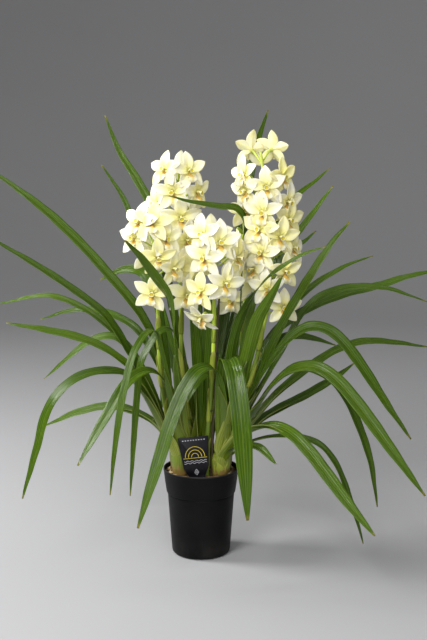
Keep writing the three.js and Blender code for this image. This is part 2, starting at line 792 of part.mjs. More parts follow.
const material = (color, roughness) => new THREE.MeshStandardMaterial({ color, roughness, metalness: 0 });
const FINISH = {
  pot: material(0x161616, 0.55),
  medium: material(0x5a4430, 0.95),
  shoot: material(0x4f8a24, 0.45),
  stem: material(0x9db845, 0.5),
  bloom: material(0xf7f0cf, 0.55),
  stake: material(0x3a3426, 0.6),
  tie: material(0x2c3a24, 0.6),
  label: material(0x111014, 0.35),
};

const plant = new THREE.Group();

// Slivers that fusing leaves are closed up first.
function addPiece(name, solid, finish) {
  const mesh = new THREE.Mesh(geometryOf(largestOf(solid).simplify(SLIVER)), finish);
  mesh.name = name;
  plant.add(mesh);
}

const curves = SPIKES.map(spikeCurve);
const stakeLines = STAKES.map((stake) => stakeLine(curves[stake.spike], stake));

const bulbWells = Object.values(SHOOTS).map(({ at: [x, y] }) =>
  rod(BULB.footRadius + SEAT_GAP, BULB.foot - SEAT_GAP, MEDIUM_TOP + 5, x, y, BULB.sides),
);
const stemWells = SPIKES.map(({ path: [[x, y]] }) =>
  rod(STEM.footRadius + SEAT_GAP + 0.6, STEM.foot - SEAT_GAP, MEDIUM_TOP + 5, x, y, 8),
);
const stakeWells = stakeLines.map((line) => {
  const below = { ...line, foot: line.at(STAKE.foot - SEAT_GAP), head: line.at(MEDIUM_TOP + 5) };
  return stakeSolid(below, STAKE.radius + SEAT_GAP);
});

addPiece("pot", potSolid(), FINISH.pot);
addPiece(
  "growing_medium",
  mediumSolid([...bulbWells, ...stemWells, ...stakeWells, labelSolid(SEAT_GAP)]),
  FINISH.medium,
);
addPiece("label", labelSolid(0), FINISH.label);
for (const [name, shoot] of Object.entries(SHOOTS)) {
  addPiece(`shoot_${name}`, shootSolid(shoot), FINISH.shoot);
}

const shape = bloomShape();
let numbered = 0;
SPIKES.forEach((spike, k) => {
  const name = `spike_${k + 1}`;
  const poses = spike.blooms.map((bloom) => bloomPose(curves[k], bloom, ++numbered));
  const stalks = poses.map((pose, b) => stalkSolid(curves[k], pose, spike.blooms[b]));
  const buds = spike.buds.map((bud) => budSolid(curves[k], bud));
  addPiece(`${name}_stem`, fuse([stemSolid(curves[k]), ...stalks, ...buds]), FINISH.stem);
  const placed = poses.map((pose) => placeBloom(shape, pose));
  for (const [bloomName, body] of bloomBodies(placed, name)) addPiece(bloomName, body, FINISH.bloom);
});

STAKES.forEach((stake, k) => {
  addPiece(`stake_${k + 1}`, stakeSolid(stakeLines[k], STAKE.radius), FINISH.stake);
  stake.ties.forEach((height, t) => {
    addPiece(`tie_${k + 1}_${t + 1}`, tieSolid(curves[stake.spike], stakeLines[k], height), FINISH.tie);
  });
});

export default plant;
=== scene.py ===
"""The looks of a potted cymbidium orchid, built round its packed solids. -Y is the front.

Shapes are worked out in millimetres, and become metres when a mesh is made.
"""

from math import atan2, cos, hypot, pi, radians, sin, sqrt
from types import SimpleNamespace as Sizes

import bpy
import numpy as np
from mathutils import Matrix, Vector


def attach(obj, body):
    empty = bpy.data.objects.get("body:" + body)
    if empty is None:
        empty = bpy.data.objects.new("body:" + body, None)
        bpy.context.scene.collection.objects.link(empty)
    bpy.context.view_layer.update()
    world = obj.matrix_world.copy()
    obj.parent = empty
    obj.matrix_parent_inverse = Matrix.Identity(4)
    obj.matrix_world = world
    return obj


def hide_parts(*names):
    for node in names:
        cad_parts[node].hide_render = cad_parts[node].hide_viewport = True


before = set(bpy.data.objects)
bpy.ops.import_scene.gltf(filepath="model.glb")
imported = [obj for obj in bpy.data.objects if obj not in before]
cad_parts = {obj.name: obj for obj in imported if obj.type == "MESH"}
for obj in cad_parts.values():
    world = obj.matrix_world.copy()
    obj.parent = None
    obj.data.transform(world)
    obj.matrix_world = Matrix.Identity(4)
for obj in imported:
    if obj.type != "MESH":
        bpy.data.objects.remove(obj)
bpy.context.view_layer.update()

MM = 0.001
UP = np.array([0.0, 0.0, 1.0])
FULL_TURN = 2 * pi

# Dimensions

# Outlines as (radius, height). The pot's runs up its outside and down its inside.
POT = [(0.5, 0), (50, 0), (53.5, 0.4), (57.4, 3.5), (58.4, 8), (66.4, 121), (65.6, 124.4),
       (65.9, 125.3), (68.5, 126), (69, 127.2), (72.2, 150), (74.2, 168.2), (74.9, 169.6),
       (75, 172.5), (74.6, 174.6), (73.8, 175), (73.1, 174.4), (72.8, 172.8), (66.6, 127),
       (65, 124), (55, 3), (0.5, 3)]
BULB = [(0.5, 150), (13, 150), (13, 167), (17.3, 186), (17.3, 204), (8, 238), (0.5, 240)]
HOLES = Sizes(count=5, circle=42, radius=4.5)
MEDIUM = Sizes(top=166, chips=230, tries=4000, edge=62, root_edge=64)
# How far the chips stay from the middle of what stands in the medium.
CLEAR = Sizes(bulb=15, stem=6, label_x=21, label_y=4)
LEAF = Sizes(root=(5, 182), turn=40, root_fold=46, tip_fold=13, thickness=1.7, ripple=0.5)
STEM = Sizes(foot=140, foot_radius=5.2, tip_radius=2.8)
WRAP = Sizes(first=186, length=(56, 74), gap=(72, 92), turn=150, thickness=0.6)
BLOOM = Sizes(reach=42, hub_back=4, drop=20, seat_gap=0.3)
BUD = Sizes(length=40, drop=14)
STAKE = Sizes(foot=45, radius=2, slack=0.8)
WIRE = Sizes(radius=0.6, clear=0.95, rise=0.9)
LABEL = Sizes(width=60, waist=50, shoulder=60, neck=32, total=128, thickness=1, lean=-6, back=3,
              at=(-1.5, -56, 122), y_in_medium=-54)


def leaf(towards, width, *arch, **turned):
    """A leaf that grows towards a compass direction and passes through points.

    Each point is (distance out, height), with a shift to the left where it bends round a neighbour.
    """
    return dict(towards=towards, width=width, arch=arch, **turned)


# Each shoot's place in the pot, and its leaves.
SHOOTS = {
    "front_left": ((-38, -27), [
        leaf(192, 20, (90, 372), (130, 412), (168, 436), (210, 452), (260, 465), (331, 480)),
        leaf(203, 21, (105, 371), (150, 387), (200, 382), (240, 358), (268, 318), (287, 255),
             (318, 158)),
        leaf(226, 22, (40, 355), (85, 388), (135, 376), (195, 315), (260, 240)),
        leaf(241, 14, (60, 390), (100, 470), (160, 445), (200, 375), (230, 280), (248, 195)),
        leaf(240, 22, (8, 297), (18, 366, 1), (30, 427, 4), (38, 477, 6), (50, 512, 8),
             (66, 537, 8), (98, 572, 3), (138, 609), (186, 642), turn=-62, tip_turn=30),
        leaf(178, 24, (18, 230), (36, 262), (56, 278)),
        leaf(215, 15, (8, 380), (20, 456), (47, 458), (74, 430), (90, 403), (98, 350), (118, 145)),
    ]),
    "front_right": ((38, -27), [
        leaf(354, 26, (48, 290), (81, 373), (106, 438), (132, 490), (151, 524), (181, 576),
             (212, 626), (245, 667)),
        leaf(330, 20, (22, 389), (31, 441), (45, 483), (66, 521), (107, 566), (150, 596),
             (188, 616), (220, 626), turn=-45, tip_turn=40),
        leaf(318, 26, (35, 290), (56, 365), (71, 418), (94, 486), (114, 517), (135, 547),
             (151, 573), turn=-40),
        leaf(344, 26, (85, 370), (135, 443), (172, 468), (205, 467), (235, 447), (270, 405),
             (325, 327), (370, 266)),
        leaf(332, 28, (85, 320), (145, 388), (190, 402), (221, 394), (253, 371), (286, 337),
             (345, 268), (415, 186)),
        leaf(318, 27, (65, 258), (105, 280), (145, 287), (182, 277), (220, 252), (262, 215),
             (310, 172), (364, 129)),
        leaf(228, 27, (10, 250, 14), (24, 338, 21), (44, 388, 20), (74, 389, 12), (101, 362, 5),
             (123, 326, 1), (144, 287), (168, 236), (196, 180), (226, 116)),
        leaf(283, 36, (25, 300), (62, 408), (105, 402), (143, 335, 3), (164, 230, 7),
             (172, 130, 11)),
        leaf(302, 18, (50, 232), (90, 248), (140, 252), (190, 235)),
    ]),
    "left": ((-43, 20), [
        leaf(172, 23, (60, 445), (150, 565), (260, 675), (390, 770)),
        leaf(186, 21, (100, 405), (145, 480), (205, 530), (270, 575), (365, 635)),
        leaf(163, 15, (100, 395), (160, 455), (210, 485), (280, 505), (410, 480)),
        leaf(176, 18, (75, 370), (122, 430), (158, 432), (189, 416), (273, 345)),
        leaf(166, 20, (45, 245), (90, 275), (145, 285), (210, 270), (290, 235)),
        leaf(156, 16, (60, 565), (105, 670), (125, 710), (170, 770)),
    ]),
    "right": ((43, 20), [
        leaf(34, 16, (75, 500), (138, 658), (180, 706), (228, 735), (270, 763)),
        leaf(10, 22, (95, 425), (155, 475), (240, 510), (325, 530), (375, 545), (450, 560)),
        leaf(359, 17, (60, 300), (113, 396), (157, 482), (194, 517), (250, 534), (318, 532),
             (401, 505)),
        leaf(20, 20, (70, 260), (125, 315), (210, 372), (255, 393), (310, 405), (380, 400),
             (465, 385)),
        leaf(346, 20, (60, 275), (110, 350), (155, 378), (195, 372), (235, 340), (290, 220),
             (312, 110)),
        leaf(32, 20, (90, 250), (135, 270), (210, 292), (285, 320), (335, 345)),
        leaf(18, 19, (50, 280), (72, 350), (94, 397), (122, 423), (160, 428), (200, 419),
             (244, 404), turn=55),
        leaf(22, 18, (40, 330), (92, 503), (113, 563), (135, 608), (168, 641), (201, 680),
             (241, 728)),
        leaf(14, 15, (50, 300), (98, 414), (139, 483), (181, 526), (233, 557), (276, 576),
             (315, 587)),
        leaf(346, 15, (57, 222), (107, 237), (157, 240), (197, 227), (227, 194), (262, 110),
             (286, 32)),
        leaf(180, 19, (-17, 330, 8), (-31, 450, 20), (-36, 560, 25), (-40, 630, 27),
             (-41, 668, 29), (-26, 689, 33), (2, 693, 42), (34, 698, 50), (66, 704, 56),
             (102, 714, 62), turn=-50, turns_at=0.66, turns_over=0.16),
    ]),
    "back": ((0, 46), [
        leaf(156, 18, (135, 425), (180, 455), (235, 468), (300, 465), (380, 440)),
        leaf(146, 20, (75, 500), (120, 680), (155, 735), (205, 800), (240, 870)),
        leaf(58, 22, (70, 400), (118, 540), (152, 636), (184, 727), (213, 800), (268, 884),
             turn=45),
        leaf(150, 23, (70, 400), (110, 510), (140, 552), (182, 556), (246, 530), turn=-75),
        leaf(97, 24, (60, 420), (120, 560), (190, 640), (270, 660)),
        leaf(74, 22, (80, 380), (160, 470), (240, 480), (310, 400), (345, 290)),
        leaf(108, 22, (70, 290), (140, 350), (210, 350), (270, 290), (310, 200)),
        leaf(50, 20, (90, 430), (170, 540), (260, 580), (348, 597), (398, 619)),
    ]),
    "centre": ((0, 0), [
        leaf(223, 22, (-4, 290, 16), (-6, 342, 27), (4, 367, 31), (24, 368, 32), (46, 349, 32),
             (65, 322, 32)),
        leaf(135, 22, (6, 320), (16, 440), (30, 520)),
        leaf(60, 22, (10, 330), (28, 470), (54, 560)),
    ]),
}

# Each flower stem runs through points (x, y, z). Each bloom is (height, compass direction it faces,
# tilt up), with the side of the stem that it stands on where that differs, and its roll where set.
SPIKES = [
    dict(path=[(-22, 33, 230), (-38, 37, 360), (-40, 39, 500), (-45, 39, 640), (-43, 36, 765)],
         blooms=[(758, 240, 12), (756, 304, 10), (757, 94, 12), (697, 214, 2, 185), (724, 258, -6),
                 (720, 324, 0), (678, 276, -14), (629, 290, -4), (684, 62, 5), (576, 270, -8),
                 (522, 284, -6)]),
    dict(path=[(-51, -4, 230), (-70, -10, 300), (-80, -14, 380), (-83, -20, 510), (-90, -24, 655)],
         blooms=[(660, 236, 16), (660, 274, 15), (636, 112, 8), (635, 234, -2, 205), (634, 308, 0),
                 (606, 286, -18), (597, 112, 0), (580, 322, -5), (536, 262, -5, None, -10)]),
    dict(path=[(12, -38, 230), (20, -44, 330), (25, -48, 430), (27, -52, 540), (30, -54, 625)],
         blooms=[(643, 234, 10), (633, 276, 2), (632, 96, 14), (605, 238, -5), (601, 330, -3),
                 (556, 294, -8), (608, 16, 4), (539, 238, -4), (587, 134, 0), (500, 236, -44)]),
    dict(path=[(51, -4, 230), (92, 4, 330), (122, 8, 450), (139, 10, 560), (128, 14, 700),
               (116, 18, 795)],
         blooms=[(795, 118, 12), (796, 62, 14), (750, 222, 8, 198), (748, 318, 4, 320),
                 (732, 270, 0), (725, 216, -4, 200), (704, 312, -6, 350), (686, 250, -5),
                 (668, 306, -2, 345), (649, 238, 4), (636, 290, -4), (607, 242, -4),
                 (610, 330, 0, 0), (573, 218, -6), (571, 306, -8), (540, 262, -6),
                 (500, 285, -4, 350, 0)]),
    dict(path=[(22, 33, 230), (52, 60, 320), (77, 76, 425), (88, 84, 490), (90, 84, 560),
               (84, 84, 700)],
         blooms=[(682, 275, 4), (584, 264, 0), (548, 290, -4, 285), (571, 120, 6),
                 (508, 250, -8, 195)],
         buds=[(634, 236, 45), (628, 262, 30)]),
]
STAKES = [dict(spike=0, beside=60, top=450, ties=[388]),
          dict(spike=2, beside=10, top=520, ties=[300, 414])]

# Tepals clockwise from the flower's top: (turn, length, width, cup).
TEPALS = [(0, 42, 25, 0.28), (70, 41, 24, 0.24), (139, 42, 24, 0.12), (221, 42, 24, 0.12),
          (290, 41, 24, 0.24)]
# Half a tepal's width along its length, as a share of the widest.
TEPAL_SHAPE = [(0, 0.42), (0.15, 0.7), (0.3, 0.93), (0.45, 1.04), (0.58, 1.0), (0.7, 0.86),
               (0.82, 0.62), (0.91, 0.38), (0.97, 0.17), (1, 0.03)]
# The lip's middle line as (y, z), with its half width and the fold of its sides in degrees.
LIP = [(-2.0, 2.0, 3.6, 52), (-5.0, 5.4, 8.2, 46), (-7.4, 8.0, 10.2, 38), (-9.4, 10.6, 8.8, 26),
       (-11.4, 12.4, 7.2, 14), (-13.8, 13.4, 9.0, 6), (-16.8, 13.4, 10.4, 0),
       (-19.8, 12.4, 9.2, -8), (-22.2, 10.8, 5.8, -10), (-23.8, 9.4, 0.5, -10)]
# The cap at the column's end and the hub behind the tepals, as (height, radius), and half a bud's
# outline as (share of its length, radius).
CAP = [(11.2, 1.8), (12.0, 3.2), (13.2, 4.2), (14.4, 4.9), (15.1, 5.0), (15.0, 4.5), (14.4, 3.9),
       (13.9, 2.2), (14.1, 0.2)]
HUB = [(-4.2, 1.6), (-3.9, 2.4), (-3.0, 3.5), (-1.6, 4.5), (0.2, 4.7), (1.8, 3.2)]
BUD_SHAPE = [(0, 1.4), (0.15, 1.4), (0.3, 1.5), (0.4, 1.8), (0.47, 3.0), (0.54, 4.5), (0.62, 5.2),
             (0.7, 5.3), (0.78, 5.0), (0.86, 4.2), (0.92, 3.1), (0.97, 1.7), (1.0, 0.3)]

# What each set of random draws starts from, where the repeat's number is added.
SEEDS = Sizes(medium=7, shoot=100, stem=199, stake=299, bloom=1000)

# The lights as (name, place, width, watts), all turned towards one point. Metres.
LIGHTS = [("key", (-1.15, -2.1, 2.15), 1.3, 67), ("side", (-1.9, 0.25, 1.7), 0.9, 62),
          ("fill", (0.3, -2.8, 1.6), 1.8, 35)]
LIT_POINT = Vector((0, 0, 0.5))
SKY = Sizes(colour=(0.8, 0.8, 0.81, 1), strength=0.4)
FLOOR = Sizes(flat=3.0, bend=3.0, top=4.5)
CAMERA = Sizes(at=(0.025, -2.1, 0.8), down=8.9, focal_pixels=1087, frame_pixels=640)


# Arithmetic on points

def unit(v):
    return v / np.maximum(np.linalg.norm(v, axis=-1, keepdims=True), 1e-9)


def steps(count):
    return np.linspace(0, 1, count)


def span(count):
    return np.linspace(-1, 1, count)


def ease(x, low, high):
    """A soft step from 0 at low to 1 at high."""
    t = np.clip((np.asarray(x, float) - low) / (high - low), 0, 1)
    return t * t * (3 - 2 * t)


def narrowing(share, start):
    """1, then a round fall to 0 from start to just past the end."""
    return np.sqrt(np.clip(1 - ease(share, start, 1.03), 0, 1))


def rotated(v, axis, angle):
    c, s = np.cos(angle)[..., None], np.sin(angle)[..., None]
    return v * c + np.cross(axis, v) * s + axis * np.sum(v * axis, -1, keepdims=True) * (1 - c)


def facing(azimuth, tilt=0):
    a, t = radians(azimuth), radians(tilt)
    return np.array([cos(a) * cos(t), sin(a) * cos(t), sin(t)])


def left_of(direction):
    return np.array([-direction[1], direction[0], 0])


def wave(index, turn):
    """A value from -1 to 1 that differs from one repeat to the next."""
    return sin(index * 12.9898 + turn * 4.1414)


def there_and_back(a):
    return np.concatenate([a, a[::-1]])


def round_trip(sides):
    """Values round a ring, from 1 to 0 and back to 1."""
    return np.abs(span(sides))


def circle(sides):
    return np.linspace(0, FULL_TURN, sides, endpoint=False)


def catmull(points, between=48):
    """Points of a centripetal Catmull-Rom curve."""
    p = [np.array(q, float) for q in points]
    p = [2 * p[0] - p[1], *p, 2 * p[-1] - p[-2]]
    s = np.linspace(0, 1, between, endpoint=False)[:, None]
    made = []
    for a, b, c, d in zip(p, p[1:], p[2:], p[3:]):
        d0, d1, d2 = (sqrt(np.linalg.norm(v)) for v in (b - a, c - b, d - c))
        t1 = ((b - a) / d0 - (c - a) / (d0 + d1) + (c - b) / d1) * d1
        t2 = ((c - b) / d1 - (d - b) / (d1 + d2) + (d - c) / d2) * d1
        cubic = (2 * (b - c) + t1 + t2) * s**3
        made.append(b + t1 * s + (3 * (c - b) - 2 * t1 - t2) * s**2 + cubic)
    return np.vstack([*made, p[-2][None]])


class Path:
    """A smooth curve, read by the share of its length."""

    def __init__(self, points):
        self.points = catmull(points)
        gaps = np.linalg.norm(np.diff(self.points, axis=0), axis=1)
        self.run = np.r_[0, np.cumsum(gaps)]
        self.length = self.run[-1]

    def at(self, share):
        wanted = np.asarray(share, float) * self.length
        return np.stack([np.interp(wanted, self.run, self.points[:, k]) for k in range(3)], -1)

    def along(self, share, reach=0.006):
        share = np.asarray(share, float)
        return unit(self.at(np.clip(share + reach, 0, 1)) - self.at(np.clip(share - reach, 0, 1)))

    def at_height(self, height):
        return self.at(np.interp(height, self.points[:, 2], self.run) / self.length)


# Meshes

def quads_between(index):
    """Faces between neighbouring rows of a grid of point numbers that closes on itself."""
    a, b = index[:-1], index[1:]
    return np.stack([a, np.roll(a, -1, 1), np.roll(b, -1, 1), b], -1).reshape(-1, 4)


def volume(points, quads, caps):
    corners = points[quads]
    total = np.sum(corners[:, 0] * np.cross(corners[:, 1], corners[:, 2]))
    total += np.sum(corners[:, 0] * np.cross(corners[:, 2], corners[:, 3]))
    for cap in (points[c] for c in caps):
        total += np.sum(cap[0] * np.cross(cap[1:-1], cap[2:]))
    return total


class Shells:
    """Closed shells gathered for one piece. Each point holds the values that its material reads."""

    VALUES = ("across", "along", "share", "tone")

    def __init__(self):
        self.points, self.faces, self.slots, self.values, self.count = [], [], [], [], 0

    def add(self, rings, slot=0, across=0, along=0, share=0, tone=0):
        """A skin over rings of equally many points, with its two ends closed.

        A row of values goes round each ring for across and tone, and from ring to ring
        for the others.
        """
        n, m, _ = rings.shape
        index = np.arange(n * m).reshape(n, m)
        quads, caps = quads_between(index), [index[0, ::-1], index[-1]]
        faces = quads.tolist() + [c.tolist() for c in caps]
        points = rings.reshape(-1, 3)
        if volume(points, quads, caps) < 0:
            faces = [f[::-1] for f in faces]
        self.points.append(points)
        self.faces += [[k + self.count for k in f] for f in faces]
        self.slots += [slot] * len(faces)
        along, share = (v[:, None] if np.ndim(v) == 1 else v for v in (along, share))
        values = [np.broadcast_to(v, (n, m)).ravel() for v in (across, along, share, tone)]
        self.values.append(np.stack(values, -1).astype(float))
        self.count += n * m

    def take(self, other, rotation, offset):
        """Takes in another gathering, turned and moved."""
        for points in other.points:
            self.points.append(points @ rotation.T + offset)
        self.faces += [[k + self.count for k in f] for f in other.faces]
        self.slots += other.slots
        self.values += other.values
        self.count += other.count


def mesh_object(name, points, faces):
    mesh = bpy.data.meshes.new(name)
    mesh.from_pydata(points.tolist(), [], faces)
    made = bpy.data.objects.new(name, mesh)
    bpy.context.scene.collection.objects.link(made)
    return made


def piece(name, shells, materials, slot, *nodes, sharp=None):
    """Makes the object, gives it its body and its finish, and hides the solids that it stands for.
    """
    made = mesh_object(name, np.vstack(shells.points) * MM, shells.faces)
    mesh = made.data
    for m in materials:
        mesh.materials.append(m)
    mesh.polygons.foreach_set("material_index", shells.slots)
    mesh.shade_smooth()
    if sharp is not None:
        mesh.set_sharp_from_angle(angle=radians(sharp))
    values = np.vstack(shells.values)
    for k, value in enumerate(Shells.VALUES):
        layer = mesh.attributes.new(value, "FLOAT", "POINT")
        layer.data.foreach_set("value", values[:, k].astype(np.float32))
    mesh.update()
    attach(made, "root")
    if nodes:
        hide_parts(*nodes)
    return made


def closed(top, under):
    """Rings round a thin sheet from its two sides."""
    return np.concatenate([top, under[:, ::-1]], 1)


def blade(mid, side, normal, half, fold, thickness, columns, ripple=None, ridge=None):
    """Rings of a thin folded sheet about a middle line, and the values across it.

    half is half its width at each row and fold lifts its margins. ripple adds to that lift, and
    ridge to the upper side alone.
    """
    a = span(columns + 1)
    bend = (np.sqrt(a**2 + 0.012) - 0.11) / (sqrt(1.012) - 0.11)
    out = half[:, None] * a * np.cos(fold)[:, None]
    lift = half[:, None] * bend * np.sin(fold)[:, None]
    if ripple is not None:
        lift = lift + ripple
    body = thickness[:, None] * (0.4 + 0.6 * (1 - np.abs(a)) ** 0.8)
    above = body / 2 if ridge is None else body / 2 + ridge
    sheet = mid[:, None] + side[:, None] * out[..., None]
    top = sheet + normal[:, None] * (lift + above)[..., None]
    under = sheet + normal[:, None] * (lift - body / 2)[..., None]
    return closed(top, under), there_and_back(a)


def round_rings(mid, along, radius, sides, squeeze=None):
    """Rings about a line. squeeze changes the radius round each ring."""
    side = np.stack([-along[:, 1], along[:, 0], np.zeros(len(along))], -1)
    side[np.linalg.norm(side, axis=1) < 1e-3] = (1, 0, 0)
    side = unit(side)
    for k in range(1, len(side)):
        if np.dot(side[k], side[k - 1]) < 0:
            side[k] = -side[k]
    other = unit(np.cross(along, side))
    side = np.cross(other, along)
    angle = circle(sides)
    r = np.broadcast_to(np.asarray(radius, float), len(mid))[:, None] * np.ones(sides)
    if squeeze is not None:
        r = r * squeeze(angle)
    return (mid[:, None] + side[:, None] * (r * np.cos(angle))[..., None]
            + other[:, None] * (r * np.sin(angle))[..., None])


def add_rod(shells, path, share, radius, sides, rng, reach, squeeze=None, shown=None):
    """A rod along a path. shown is the share that its material reads, where that differs."""
    rings = round_rings(path.at(share), path.along(share, reach), radius, sides, squeeze)
    shown = share if shown is None else shown
    shells.add(rings, 0, round_trip(sides), share * path.length, shown, rng.uniform())


def lathe_rings(profile, sides, centre=(0, 0), squeeze=None):
    """Rings about an upright axis through (radius, height) points."""
    r, z = np.array(profile, float).T
    angle = circle(sides)
    r = r[:, None] * np.ones(sides)
    if squeeze is not None:
        r = r * squeeze(angle)
    return np.stack([centre[0] + r * np.cos(angle), centre[1] + r * np.sin(angle),
                     z[:, None] * np.ones(sides)], -1)


def rounded(profile, corner, points=4):
    """The profile with each inner point turned into a small arc."""
    p = np.array(profile, float)
    made = [p[0]]
    for a, b, c in zip(p, p[1:], p[2:]):
        cut = min(corner, 0.45 * np.linalg.norm(b - a), 0.45 * np.linalg.norm(c - b))
        start, end = b + unit(a - b) * cut, b + unit(c - b) * cut
        for t in steps(points):
            made.append((1 - t) ** 2 * start + 2 * t * (1 - t) * b + t * t * end)
    return np.array([*made, p[-1]])


# Materials

class Value:
    """What a node gives. Arithmetic on it adds nodes."""

    def __init__(self, shade, socket):
        self.shade, self.socket = shade, socket

    def math(self, operation, *others):
        return self.shade.node("Math", self, *others, operation=operation)

    def __add__(self, other):
        return self.math("ADD", other)

    def __sub__(self, number):
        return self.math("ADD", -number)

    def __mul__(self, other):
        return self.math("MULTIPLY", other)

    def clamped(self):
        self.socket.node.use_clamp = True
        return self

    def step(self, low, high, low_value=0, high_value=1):
        """A soft step between two values."""
        return self.shade.node("MapRange", self, low, high, low_value, high_value,
                               interpolation_type="SMOOTHSTEP")

    def spread(self, low_value, high_value):
        """A noise's middle range, turned into values."""
        return self.step(0.3, 0.7, low_value, high_value)

    def stripes(self, count, wobble):
        """Fine lines that run along a blade, from 0 to 1."""
        return (self * count + wobble).math("SINE").step(-0.2, 1)


class Shade:
    """A node material with one Principled shader. Its colour is built up in coats."""

    def __init__(self, name, specular, flesh=(), sheen=0):
        """flesh is the weight, radius and scale of the light that scatters inside."""
        self.made = bpy.data.materials.new(name)
        self.made.use_nodes = True
        self.tree = self.made.node_tree
        self.sockets = self.tree.nodes["Principled BSDF"].inputs
        self.sockets["Specular IOR Level"].default_value = specular
        for part, value in zip(("Weight", "Radius", "Scale"), flesh):
            self.sockets["Subsurface " + part].default_value = value
        if sheen:
            self.sockets["Sheen Weight"].default_value = sheen
            self.sockets["Sheen Roughness"].default_value = 0.5

    def node(self, kind, *values, out=0, named=None, **settings):
        made = self.tree.nodes.new("ShaderNode" + kind)
        for key, value in settings.items():
            setattr(made, key, value)
        for k, value in [*enumerate(values), *(named or {}).items()]:
            self.put(made.inputs[k], value)
        return Value(self, made.outputs[out])

    def put(self, socket, value):
        if isinstance(value, Value):
            self.tree.links.new(value.socket, socket)
        elif socket.type == "RGBA":
            socket.default_value = (*value, 1)
        else:
            socket.default_value = value

    def values(self):
        """The values that the mesh holds, in their own order."""
        return [self.node("Attribute", attribute_name=v, out="Fac") for v in Shells.VALUES]

    def place(self):
        return self.node("TexCoord", out="Object")

    def texture(self, kind, where, **named):
        """A texture's value at a place, or at three values taken as one."""
        where = self.node("CombineXYZ", *where) if isinstance(where, tuple) else where
        named = {key.title(): value for key, value in named.items()}
        out = "Fac" if kind == "Noise" else "Distance"
        return self.node("Tex" + kind, named={"Vector": where, **named}, out=out)

    def noise(self, where, scale, detail=3, roughness=0.55):
        return self.texture("Noise", where, scale=scale, detail=detail, roughness=roughness)

    def mix(self, share, a, b):
        return self.node("Mix", data_type="RGBA", out=2, named={0: share, 6: a, 7: b})

    def ramp(self, share, *stops):
        made = self.tree.nodes.new("ShaderNodeValToRGB")
        self.put(made.inputs[0], share)
        band = made.color_ramp
        while len(band.elements) < len(stops):
            band.elements.new(0.5)
        for element, (place, colour) in zip(band.elements, stops):
            element.position, element.color = place, (*colour, 1)
        self.colour = Value(self, made.outputs[0])

    def coat(self, share, colour):
        self.colour = self.mix(share, self.colour, colour)

    def finish(self, roughness, height=None, strength=0.5, distance=0.001):
        self.put(self.sockets["Base Color"], self.colour)
        self.put(self.sockets["Roughness"], roughness)
        if height is not None:
            named = {"Strength": strength, "Distance": distance, "Height": height}
            self.put(self.sockets["Normal"], self.node("Bump", named=named))
        return self.made


def leaf_material():
    s = Shade("leaf", 0.27, (0.1, (0.7, 1.0, 0.2), 0.002))
    across, along, share, tone = s.values()
    patch = s.noise((across * 1.6, along * 0.02, tone * 40), 1.1)
    streak = s.noise((across * 9, along * 0.012, tone * 40), 1.6, 4)
    s.ramp((patch * 0.5 + tone * 0.5).clamped(), (0.1, (0.01, 0.026, 0.001)),
           (0.5, (0.028, 0.066, 0.001)), (0.9, (0.08, 0.145, 0.002)))
    s.coat(streak.step(0.42, 0.72, 0, 0.45), (0.1, 0.175, 0.004))
    s.coat(share.step(0.35, 0.9, 0, 0.35), (0.1, 0.19, 0.006))
    fine = across.stripes(46, streak * 3)
    s.coat(fine * 0.42, (0.012, 0.036, 0.002))
    # Lighter pleat ridges are a painted highlight, and darker furrows between them are painted
    # shade.
    rib = (across * 19 + 1.57).math("SINE")
    ridge_highlight, furrow_shade = rib.step(0.55, 1), rib.step(-0.3, -1)
    s.coat(ridge_highlight * 0.42, (0.12, 0.21, 0.008))
    s.coat(furrow_shade * 0.34, (0.016, 0.042, 0.002))
    near = across.math("ABSOLUTE")
    midrib, margin = near.step(0.09, 0.02, 0, 0.35), near.step(0.95, 1, 0, 0.4)
    s.coat(midrib, (0.13, 0.2, 0.02))
    s.coat(margin, (0.17, 0.24, 0.03))
    root, tip = share.step(0.36, 0.03) + (streak - 0.5) * 0.45, share.step(0.975, 0.998, 0, 0.6)
    s.coat((root * 0.8).clamped(), (0.17, 0.24, 0.012))
    s.coat(tip, (0.3, 0.24, 0.05))
    speck = s.noise((across * 8, along * 0.5, tone), 3, 2).step(0.72, 0.8)
    s.coat(speck * 0.35, (0.22, 0.27, 0.07))
    height = fine * 0.35 + (ridge_highlight * 0.5 + streak * 0.6)
    return s.finish(patch.spread(0.15, 0.29), height, 0.6, 0.0009)


def clasp_material():
    """The pale bases of leaves round a bulb, green above and papery brown at the foot."""
    s = Shade("leaf_base", 0.45, (0.2, (1.0, 0.95, 0.2), 0.003))
    across, along, share, tone = s.values()
    streak = s.noise((across * 8, along * 0.02, tone * 30), 1.8, 4)
    line = across.stripes(40, streak * 4)
    s.ramp(streak * 0.5 + tone * 0.5, (0.15, (0.12, 0.17, 0.008)), (0.5, (0.17, 0.22, 0.012)),
           (0.85, (0.27, 0.3, 0.03)))
    s.coat(line * 0.5, (0.055, 0.1, 0.005))
    green, margin = share.step(0.28, 0.7, 0, 0.82), across.math("ABSOLUTE").step(0.85, 1, 0, 0.4)
    s.coat(green, (0.042, 0.09, 0.004))
    s.coat(margin, (0.4, 0.43, 0.12))
    brown = (share.step(0.24, 0) + (streak - 0.5) * 1.3).step(0.5, 0.9)
    s.coat(brown * 0.85, (0.26, 0.15, 0.045))
    return s.finish(streak.spread(0.34, 0.5), line * 0.7 + streak, 0.5, 0.0007)


